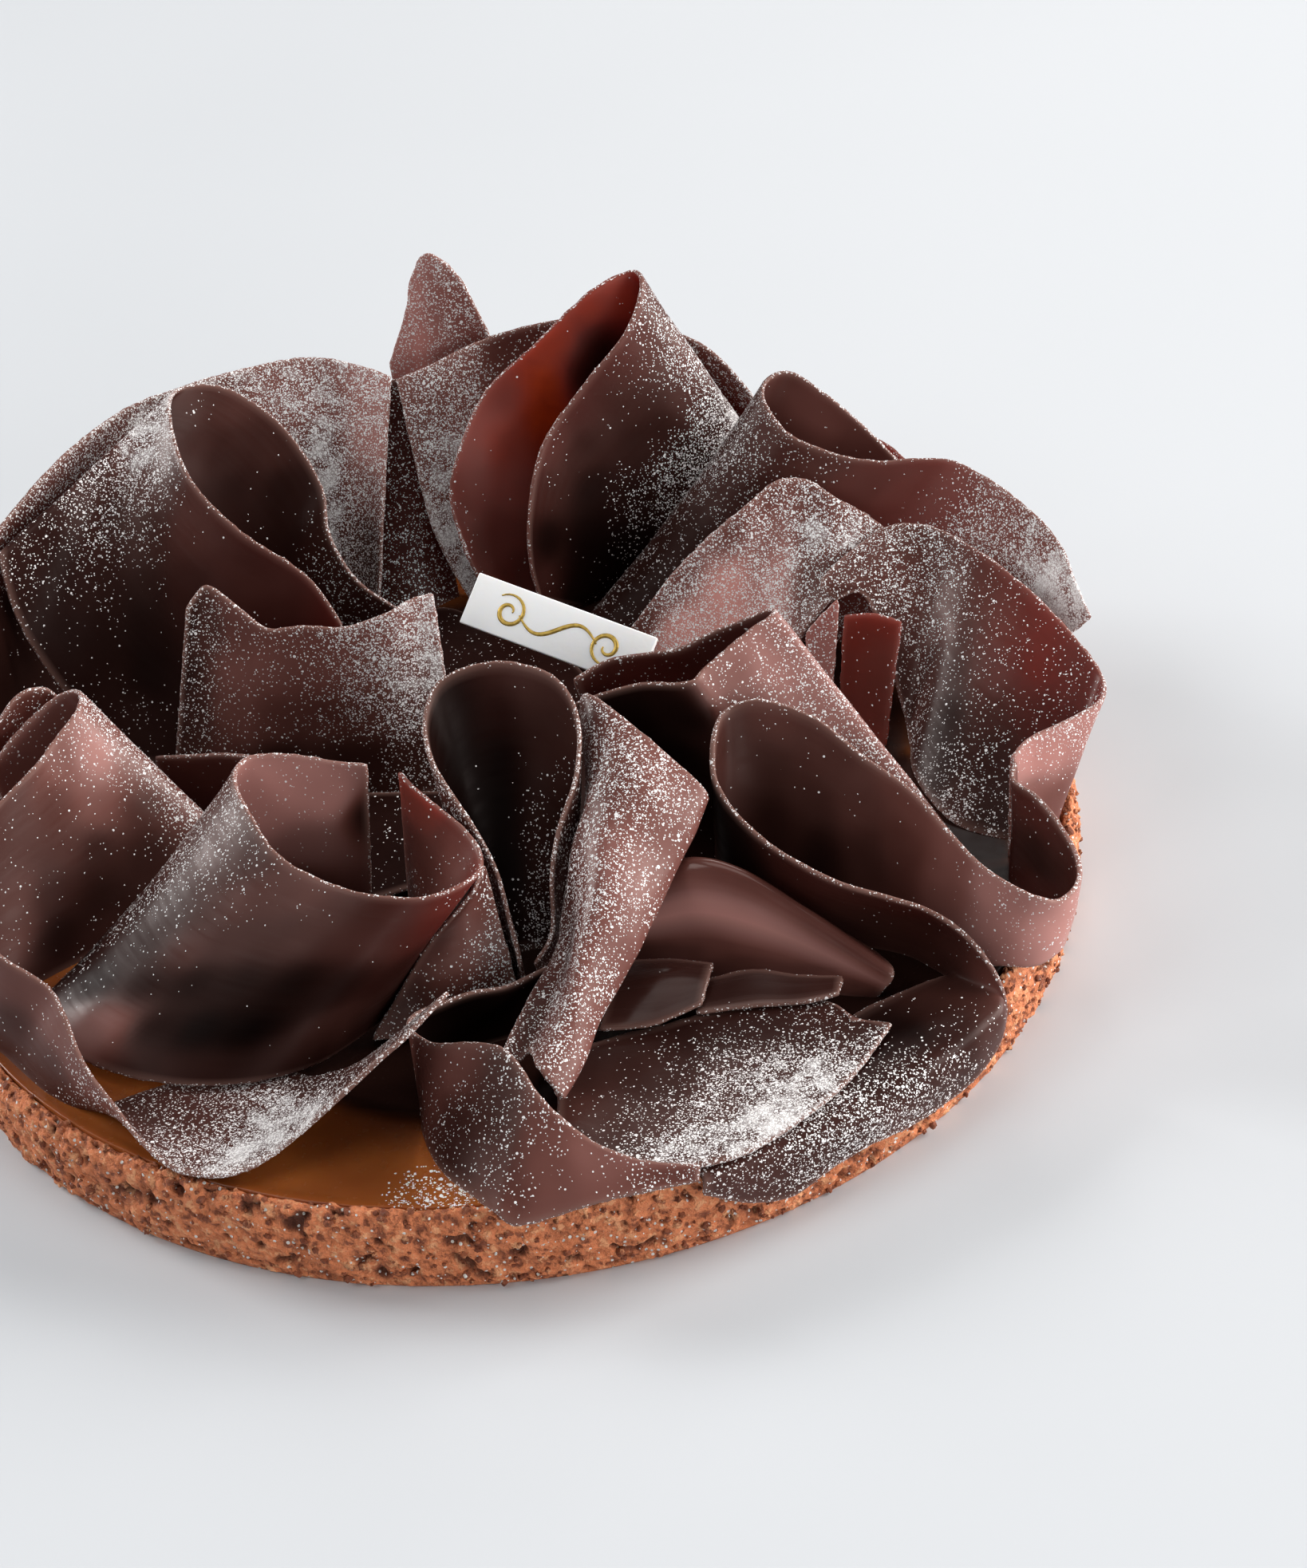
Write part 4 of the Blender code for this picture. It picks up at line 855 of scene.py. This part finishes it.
def make_sheet(name, rows, material):
    """A thin sheet with rounded edges. Its first side is the one that its run
    and its drop turn towards."""
    look = LOOKS.get(name, {})
    grid = sheet_grid(rows)
    wide, tall = grid.shape[:2]
    run, drop = np.gradient(grid, axis=0), np.gradient(grid, axis=1)
    normal = unit(np.cross(run, drop))
    step_s = np.linalg.norm(run, axis=2).mean(1)
    step_t = np.linalg.norm(drop, axis=2).mean(0)
    s_mm, t_mm = np.cumsum(step_s) - step_s[0], np.cumsum(step_t) - step_t[0]
    sway = 0.22 * noise_at(grid, 13.0, 3.1) + 0.10 * noise_at(grid, 5.0, 9.7)
    grid = grid + normal * sway[..., None]
    half = 0.5 * SHEET_THICKNESS * (0.92 + 0.16 * noise_at(grid, 8.0, 21.3))

    # a rounded, slightly nibbled rim: three lines round the edge, each given by
    # how far it lifts towards the first side and how far out it reaches
    rims = ((0.72, 0.34), (0.0, 0.5), (-0.72, 0.34))
    ring_i, ring_j = ring_of(wide, tall)
    edge, edge_normal = grid[ring_i, ring_j], normal[ring_i, ring_j]
    edge_half = half[ring_i, ring_j][:, None]
    tangent = unit(np.roll(edge, -1, 0) - np.roll(edge, 1, 0))
    outward = unit(np.cross(tangent, edge_normal))
    nibble = 1.0 + 0.5 * noise_at(edge, 1.6, 5.5)[:, None]
    corners = [(grid + normal * half[..., None]).reshape(-1, 3),
               (grid - normal * half[..., None]).reshape(-1, 3)]
    for lift, out in rims:
        corners.append(edge + edge_normal * edge_half * lift
                       + outward * edge_half * 2 * out * nibble)
    ring_front = ring_i * tall + ring_j
    faces = sheet_faces(wide, tall, ring_front, len(rims))

    # what the material reads at each corner: "look" is sugar, glow and rim,
    # "flow" is the place along and down the sheet, "painted_light_and_gloss" is
    # painted light and shade, and gloss
    ones = np.ones((wide, tall))
    s_grid, t_grid = s_mm[:, None] * ones, t_mm[None, :] * ones
    to_edge = np.minimum(np.minimum(s_grid, s_mm[-1] - s_grid),
                         np.minimum(t_grid, t_mm[-1] - t_grid))
    rim = 0.6 * (1.0 - ramp(to_edge, 0.0, RIM_WIDTH))
    gloss = look.get("gloss", 0.0) * ones
    looks, light_and_gloss_rows, edges = [], [], []
    for side in (0, 1):
        cover, painted_light, glow = side_look(look, side, normal, s_mm, t_mm)
        looks.append(np.stack([cover, glow, rim], -1).reshape(-1, 3))
        light_and_gloss_rows.append(np.stack([painted_light, gloss, 0.0 * ones], -1).reshape(-1, 3))
        edges.append((cover[ring_i, ring_j], glow[ring_i, ring_j]))
    (cover_0, glow_0), (cover_1, glow_1) = edges
    edge_look = np.stack([0.30 + 0.5 * np.maximum(cover_0, cover_1), 0.5 * (glow_0 + glow_1),
                          np.ones(len(ring_i))], -1)
    edge_light_and_gloss = (0.5 * (light_and_gloss_rows[0] + light_and_gloss_rows[1]))[ring_front]
    flow = np.stack([s_grid, t_grid, 0.0 * ones], -1).reshape(-1, 3)
    flows = [flow, flow + np.array([0.0, 0.0, 7.0]), *[flow[ring_front]] * len(rims)]
    return make_mesh(name + "_sheet", np.concatenate(corners), faces, material,
                     (name,),
                     {"look": np.concatenate(looks + [edge_look] * len(rims)),
                      "flow": np.concatenate(flows),
                      "painted_light_and_gloss": np.concatenate(light_and_gloss_rows + [edge_light_and_gloss] * len(rims))})


# ------------------------------------------------------------ crust and caramel
def crumb_height(points):
    """The CAD crust's relief, in mm: large crags and small grains."""
    crag = noise_at(points, 9.0)
    grain = noise_at(points, 3.4, np.array([7.0, 3.0, 5.0]))
    return CRUMB_DEPTH * (0.55 * crag + 0.75 * grain)


def clumps_at(points, size):
    """Rounded clumps packed together, about 1 in the middle and 0 at a seam."""
    flat = (points.reshape(-1, 3) / size).tolist()
    near = np.array([noise.voronoi(Vector(p))[0] for p in flat])
    inside = (near[:, 1] - near[:, 0]).reshape(points.shape[:-1])
    return np.sqrt(np.clip(inside * 1.6, 0.0, 1.0))


def turned(profile, steps):
    """Points of an outline of (radius, height) turned about the axis."""
    profile = np.array(profile, float)
    angle = np.linspace(0.0, 2.0 * math.pi, steps, endpoint=False)
    ring = np.stack([np.cos(angle), np.sin(angle)], 1)
    flat = ring[:, None, :] * profile[None, :, :1]
    high = np.ones((steps, 1)) * profile[None, :, 1]
    return np.concatenate([flat, high[..., None]], -1)


def resample(outline, step):
    """Points evenly spaced along an outline."""
    outline = np.array(outline, float)
    lengths = np.linalg.norm(np.diff(outline, axis=0), axis=1)
    reach = np.concatenate([[0.0], np.cumsum(lengths)])
    places = np.linspace(0.0, reach[-1], math.ceil(reach[-1] / step) + 1)
    return np.stack([np.interp(places, reach, outline[:, k]) for k in range(2)], 1)


def close_turned(grid, top_level, under_level):
    """Corners and faces of a turned surface, closed at the axis. Its rows run
    out along the top, down the side and in again underneath."""
    steps, rows = grid.shape[:2]
    corners = np.concatenate([grid.reshape(-1, 3),
                              [[0.0, 0.0, top_level], [0.0, 0.0, under_level]]])
    index = np.arange(steps * rows).reshape(steps, rows)
    after = np.roll(index, -1, 0)
    quads = np.stack([index[:, :-1], after[:, :-1], after[:, 1:], index[:, 1:]],
                     -1).reshape(-1, 4)
    first, last = index[:, 0], index[:, -1]
    middle = np.full(steps, steps * rows)
    faces = np.concatenate([quads[:, [0, 2, 1]], quads[:, [0, 3, 2]],
                            np.stack([middle, first, np.roll(first, -1)], 1),
                            np.stack([middle + 1, np.roll(last, -1), last], 1)])
    return corners, faces


def make_crust(material):
    inner, top = INNER_RADIUS, CRUST_HEIGHT
    # outline of the side that shows, over the rim and down to the foot
    shown = [(inner, top - 2.2), (inner, top - 1.5), (inner + 0.4, top - 0.5),
             (inner + 1.8, top - 0.1), (TART_RADIUS - 1.0, top - 0.7),
             (TART_RADIUS - 0.2, top - 2.4), (TART_RADIUS, top - 5.2),
             (TART_RADIUS, top - 8.4), (TART_RADIUS - 0.1, top - 11.6),
             (TART_RADIUS - 0.4, top - 14.4), (TART_RADIUS - 0.9, 0.8),
             (TART_RADIUS - 1.6, 0.05)]
    outline = resample(shown, CRUST_STEP)
    grid = turned(outline, CRUST_STEPS)
    tangent = unit(np.gradient(outline, axis=0))
    out = turned(np.stack([-tangent[:, 1], tangent[:, 0]], 1), CRUST_STEPS)

    # relief in mm: the CAD's crags, clumps of two sizes, ragged grain and holes;
    # it fades out at the foot, and mostly on the wall's inner side
    ragged = noise_at(grid, 1.5, 11.0)
    hole = ramp(noise_at(grid, 3.0, 31.0) + 0.25 * ragged, 0.30, 0.62)
    height = (crumb_height(grid) - 0.25 * CRUMB_DEPTH + 0.55 * (clumps_at(grid, 2.3) - 0.6)
              + 0.30 * (clumps_at(grid + 40.0, 1.25) - 0.6) + 0.25 * ragged - 1.5 * hole)
    to_wall = 0.7 * ramp(-outline[:, 0], -inner - 0.5, -inner)
    height = height * (ramp(outline[:, 1], 0.0, 0.9) * (1.0 - to_wall))[None, :]
    grid = grid + out * height[..., None]
    grid[..., 2] = np.minimum(grid[..., 2], top + 0.35)
    # depth and hole also serve as painted shade in the pits and holes, and painted light on the
    # tips
    depth = np.clip(0.62 + 0.42 * height, 0.0, 1.0)
    upper = ramp(grid[..., 2], top - 3.5, top - 0.5)

    # the plain base inside and under the shown surface
    base = turned([(0.5 * inner, BASE_THICKNESS), (inner, BASE_THICKNESS)], CRUST_STEPS)
    under = turned([(TART_RADIUS - 3.0, 0.0), (0.5 * inner, 0.0)], CRUST_STEPS)
    corners, faces = close_turned(np.concatenate([base, grid, under], 1), BASE_THICKNESS, 0.0)
    looks = np.pad(np.stack([depth, hole, upper], -1), ((0, 0), (2, 2), (0, 0)))
    looks = np.concatenate([looks.reshape(-1, 3), np.zeros((2, 3))])
    return make_mesh("crust_baked", corners, faces, material, ("crust",),
                     {"look": looks})


# where painted shade darkens the caramel between the sheets, as the centres and
# half sizes of ellipses, and where a little sugar has fallen on it
PAINTED_SHADE_PATCHES = [(0, 20, 92, 62), (35, -30, 68, 62), (55, -50, 45, 48), (-40, -45, 45, 24),
        (0, -62, 42, 26)]
FALLEN_SUGAR = np.array([(-14.0, -101.5), (-7.0, -103.0)])


def make_caramel(material):
    """The level filling: its top is finely divided, and lifts where it meets
    the crust."""
    edge = INNER_RADIUS
    radii = np.concatenate([np.linspace(1.0, edge - 3.0, 60), np.linspace(edge - 2.4, edge, 7)])
    lift = 0.75 * ramp(radii, edge - 3.0, edge)
    grid = turned(np.stack([radii, CARAMEL_LEVEL + lift], 1), CARAMEL_STEPS)
    grid[..., 2] += 0.12 * noise_at(grid, 22.0, 2.2) + 0.25 * noise_at(grid, 2.5) * lift[None, :]
    wall = turned([(edge - 0.2, CARAMEL_LEVEL - 2.0), (edge - GAP, BASE_THICKNESS + GAP)],
                  CARAMEL_STEPS)
    corners, faces = close_turned(np.concatenate([grid, wall], 1), CARAMEL_LEVEL,
                                  BASE_THICKNESS + GAP)
    flat = corners[:, :2]
    near = np.min(np.linalg.norm(flat[:, None, :] - FALLEN_SUGAR[None], axis=2), axis=1)
    dust = 0.40 * (1.0 - ramp(near, 1.5, 8.0))
    # painted shade over the caramel, from the ellipses
    painted_shade = np.zeros(len(corners))
    for at_x, at_y, half_x, half_y in PAINTED_SHADE_PATCHES:
        far = np.hypot((flat[:, 0] - at_x) / half_x, (flat[:, 1] - at_y) / half_y)
        painted_shade = np.maximum(painted_shade, 1.0 - ramp(far, 0.85, 1.0))
    return make_mesh("caramel_filling", corners, faces, material, ("caramel",),
                     {"look": np.stack([dust, painted_shade, 0.0 * dust], 1)})


# ------------------------------------------------------------- scattered things
OCTAHEDRON = np.array([(1, 0, 0), (-1, 0, 0), (0, 1, 0), (0, -1, 0), (0, 0, 1), (0, 0, -1)], float)
OCTAHEDRON_FACES = np.array([(0, 2, 4), (2, 1, 4), (1, 3, 4), (3, 0, 4),
                             (2, 0, 5), (1, 2, 5), (3, 1, 5), (0, 3, 5)])


def random_turns(count, random):
    """Turning matrices drawn evenly from all directions."""
    q = random.normal(size=(count, 4))
    w, x, y, z = (q / np.linalg.norm(q, axis=1, keepdims=True)).T
    return np.stack([
        np.stack([1 - 2 * (y * y + z * z), 2 * (x * y - z * w), 2 * (x * z + y * w)], 1),
        np.stack([2 * (x * y + z * w), 1 - 2 * (x * x + z * z), 2 * (y * z - x * w)], 1),
        np.stack([2 * (x * z - y * w), 2 * (y * z + x * w), 1 - 2 * (x * x + y * y)], 1)], 1)


def scatter(name, points, sizes, shape, faces, material, random, rough=0.25,
            smooth_faces=False):
    """Copies of one small shape, each turned, sized and bent its own way."""
    count = len(points)
    turns = random_turns(count, random)
    wobble = 1.0 + rough * random.uniform(-1.0, 1.0, (count, len(shape), 1))
    stretch = random.uniform(0.7, 1.3, (count, 1, 3))
    local = shape[None] * wobble * stretch * sizes[:, None, None]
    placed = np.einsum("nij,nkj->nki", turns, local) + points[:, None, :]
    all_faces = (faces[None] + (np.arange(count) * len(shape))[:, None, None]).reshape(-1, 3)
    return make_mesh(name, placed.reshape(-1, 3), all_faces, material,
                     smooth_faces=smooth_faces)


def mesh_lists(shell):
    """Corners and faces of a bmesh as arrays; the bmesh is freed."""
    corners = np.array([v.co[:] for v in shell.verts])
    faces = np.array([[v.index for v in f.verts] for f in shell.faces])
    shell.free()
    return corners, faces


def make_crumbs(crust, material, random):
    """Loose crumbs that cling to the crust's side and top."""
    ball = bmesh.new()
    bmesh.ops.create_icosphere(ball, subdivisions=2, radius=1.0)
    corners, faces = mesh_lists(ball)
    places = read_rows(crust.data.vertices, "co") / MM
    radius = np.hypot(places[:, 0], places[:, 1])
    shown = np.flatnonzero((places[:, 2] > 0.8) & (radius > INNER_RADIUS + 0.3))
    chosen = random.choice(shown, CRUMB_COUNT, replace=False)
    sizes = 0.32 + 0.75 * random.beta(1.2, 4.0, len(chosen))
    scatter("crust_crumbs", places[chosen], sizes, corners, faces, material,
            random, 0.28, True)


def sheet_points(sheets, count, random):
    """Places on the sheets and their normals, more where the sugar is thicker."""
    spots, weights, normals = [], [], []
    for item in sheets:
        mesh = item.data
        corners = read_rows(mesh.vertices, "co") / MM
        look = read_rows(mesh.attributes["look"].data, "vector")
        quads = read_rows(mesh.polygons, "vertices", np.int32, 4)
        one, two, three = corners[quads[:, 0]], corners[quads[:, 1]], corners[quads[:, 3]]
        cross = np.cross(two - one, three - one)
        area = np.linalg.norm(cross, axis=1)
        cover = look[quads].mean(1)[:, 0]
        spots.append(np.stack([one, two, three], 1))
        normals.append(cross / np.maximum(area, 1e-9)[:, None])
        weights.append(area * cover ** 1.8)
    weights = np.concatenate(weights)
    chosen = random.choice(len(weights), count, p=weights / weights.sum())
    share = random.uniform(0.0, 1.0, (count, 2))
    one, two, three = np.concatenate(spots)[chosen].swapaxes(0, 1)
    points = one + (two - one) * share[:, :1] + (three - one) * share[:, 1:]
    return points, np.concatenate(normals)[chosen]


def make_grains(sheets, random):
    """Grains of sugar that lie on the sheets."""
    points, normals = sheet_points(sheets, GRAIN_COUNT, random)
    sizes = 0.07 + 0.11 * random.beta(1.5, 4.0, len(points))
    scatter("sugar_grains", points + normals * (sizes * 0.4)[:, None], sizes, OCTAHEDRON,
            OCTAHEDRON_FACES, sugar_material(), random)


# ---------------------------------------------------------------------- plaque
def make_plaque(material):
    """A thin plaque with softened edges, in the place of the CAD's."""
    left_top, right_top = Vector((1.0, 35.0, 48.0)), Vector((34.0, 18.0, 40.0))
    lean = Vector((-5.0, -6.0, -7.0))
    run = right_top - left_top
    centre = left_top + run / 2 + lean / 2
    along = run.normalized()
    normal = along.cross(lean).normalized()
    down = normal.cross(along)
    size = (run.length, lean.length, 1.2)
    box = bmesh.new()
    bmesh.ops.create_cube(box, size=1.0)
    for corner in box.verts:
        corner.co = Vector([place * reach for place, reach in zip(corner.co, size)])
    bmesh.ops.bevel(box, geom=box.edges, offset=0.28, segments=3, affect="EDGES", profile=0.5)
    bmesh.ops.triangulate(box, faces=box.faces)
    for corner in box.verts:
        corner.co = centre + along * corner.co.x + down * corner.co.y + normal * corner.co.z
    corners, faces = mesh_lists(box)
    make_mesh("plaque_board", corners, faces, material, ("plaque",))
    return centre, along, down, normal


def make_scroll(place, material):
    """A plain gilt flourish: two curls joined by a wave, raised a little."""
    centre, along, down, normal = place
    front = normal if normal.dot(Vector((0, -0.8, 0.6))) > 0 else -normal
    curl_at, wave_reach, wave_height = 10.4, 8.2, 2.2
    strokes = []
    for turn in (1.0, -1.0):
        curl = []
        for t in np.linspace(0.0, 1.0, 40):
            angle, reach = 2.75 * math.pi * t, 0.7 + 2.9 * t
            curl.append((turn * (curl_at - reach * math.cos(angle)),
                         turn * reach * math.sin(angle)))
        strokes.append(curl)
    strokes.append([(wave_reach * (2.0 * t - 1.0), wave_height * math.sin(2.0 * math.pi * t))
                    for t in np.linspace(0.0, 1.0, 31)])
    corners, faces = [], []
    for stroke in strokes:
        count, first = len(stroke), len(corners)
        for i, (x, y) in enumerate(stroke):
            before, after = stroke[max(i - 1, 0)], stroke[min(i + 1, count - 1)]
            dx, dy = after[0] - before[0], after[1] - before[1]
            width = (0.14 + 0.36 * math.sin(math.pi * (i + 0.5) / count)) / math.hypot(dx, dy)
            for across, high in ((-1, 0.0), (-0.5, 0.16), (0.5, 0.16), (1, 0.0)):
                corners.append(centre + along * (x - dy * width * across)
                               + down * (y + dx * width * across) + front * (0.58 + high))
        for i in range(count - 1):
            for k in range(4):
                a, b = first + i * 4 + k, first + i * 4 + (k + 1) % 4
                faces.append((a, b, b + 4, a + 4))
        last = first + (count - 1) * 4
        faces += [(first + 3, first + 2, first + 1, first), (last, last + 1, last + 2, last + 3)]
    item = make_mesh("plaque_scroll", corners, np.array(faces), material)
    shell = bmesh.new()
    shell.from_mesh(item.data)
    bmesh.ops.recalc_face_normals(shell, faces=shell.faces)
    shell.to_mesh(item.data)
    shell.free()


# --------------------------------------------------------------- room and light
WARM, PLAIN = (1.0, 0.98, 0.96), (1.0, 1.0, 1.0)

# Area lamps that all face the tart: the turn round it, 0 towards the viewer and
# 90 to the right, and the lift, in degrees; then distance, width and height in
# metres, power in watts and colour.
LAMPS = [
    ("window_right", 100.0, 24.0, 1.9, 1.1, 0.9, 46.0, WARM),
    ("window_left", -118.0, 28.0, 1.7, 0.6, 0.7, 19.0, PLAIN),
    ("card_left", -60.0, 48.0, 1.2, 0.6, 0.6, 2.8, PLAIN),
    ("card_right", 50.0, 20.0, 1.7, 0.9, 0.7, 11.0, PLAIN),
    ("card_front", 8.0, 14.0, 1.7, 0.8, 0.4, 3.0, PLAIN),
    ("ceiling", 90.0, 85.0, 1.2, 0.7, 0.7, 2.6, PLAIN),
    ("card_back", 165.0, 35.0, 1.5, 0.7, 0.5, 4.5, WARM),
]
LAMP_AIM = Vector((0.0, 0.0, 0.03))
FLOOR_SIDE = 3.0

# The camera looks down 36 degrees and is rolled by 6. Its lift and roll are in
# radians; how far it stands back, to the right and up is in radii of the tart.
CAMERA_LIFT, CAMERA_ROLL = 0.63432, -0.10060
CAMERA_BACK, CAMERA_RIGHT, CAMERA_UP = 5.37242, 0.27496, 0.13964


def add_lamp(name, turn, lift, reach, width, height, power, colour):
    lamp = bpy.data.lights.new(name, "AREA")
    lamp.shape = "RECTANGLE"
    lamp.size, lamp.size_y = width, height
    lamp.energy = power
    lamp.color = colour
    turn, lift = math.radians(turn), math.radians(lift)
    flat = reach * math.cos(lift)
    item = bpy.data.objects.new(name, lamp)
    item.location = (flat * math.sin(turn), -flat * math.cos(turn), reach * math.sin(lift))
    item.rotation_euler = (LAMP_AIM - item.location).to_track_quat("-Z", "Y").to_euler()
    item.visible_camera = False
    bpy.context.scene.collection.objects.link(item)


def make_room():
    side = FLOOR_SIDE
    mesh = bpy.data.meshes.new("floor")
    mesh.from_pydata([(-side, -side, 0), (side, -side, 0), (side, side, 0), (-side, side, 0)],
                     [], [(0, 1, 2, 3)])
    mesh.materials.append(floor_material())
    floor = bpy.data.objects.new("floor", mesh)
    bpy.context.scene.collection.objects.link(floor)
    world = bpy.data.worlds.new("soft_room")
    world.use_nodes = True
    background = world.node_tree.nodes["Background"].inputs
    background["Color"].default_value = (0.90, 0.94, 1.0, 1.0)
    background["Strength"].default_value = 0.08
    bpy.context.scene.world = world
    for lamp in LAMPS:
        add_lamp(*lamp)


def make_camera():
    back = Vector((0.0, -math.cos(CAMERA_LIFT), math.sin(CAMERA_LIFT)))
    right = Vector((1.0, 0.0, 0.0))
    up = Vector((0.0, math.sin(CAMERA_LIFT), math.cos(CAMERA_LIFT)))
    rolled_right = right * math.cos(CAMERA_ROLL) + up * math.sin(CAMERA_ROLL)
    rolled_up = up * math.cos(CAMERA_ROLL) - right * math.sin(CAMERA_ROLL)
    matrix = Matrix((rolled_right, rolled_up, back)).transposed().to_4x4()
    matrix.translation = (back * CAMERA_BACK + right * CAMERA_RIGHT
                          + up * CAMERA_UP) * (TART_RADIUS * MM)
    lens = bpy.data.cameras.new("camera")
    lens.lens = 70.0
    lens.sensor_width = 36.0
    lens.clip_start = 0.01
    camera = bpy.data.objects.new("camera", lens)
    camera.matrix_world = matrix
    bpy.context.scene.collection.objects.link(camera)
    bpy.context.scene.camera = camera


def main():
    random = np.random.default_rng(SEED)
    make_camera()
    make_room()
    bpy.context.scene.view_settings.view_transform = "Standard"
    dark = chocolate_material("dark_chocolate")
    sheets = [make_sheet(name, rows, dark) for name, rows in SHEETS.items()]
    crumb = crust_material()
    crust = make_crust(crumb)
    make_crumbs(crust, crumb, random)
    make_caramel(caramel_material())
    plaque = make_plaque(plaque_material())
    make_scroll(plaque, gold_material())
    make_grains(sheets, random)


main()
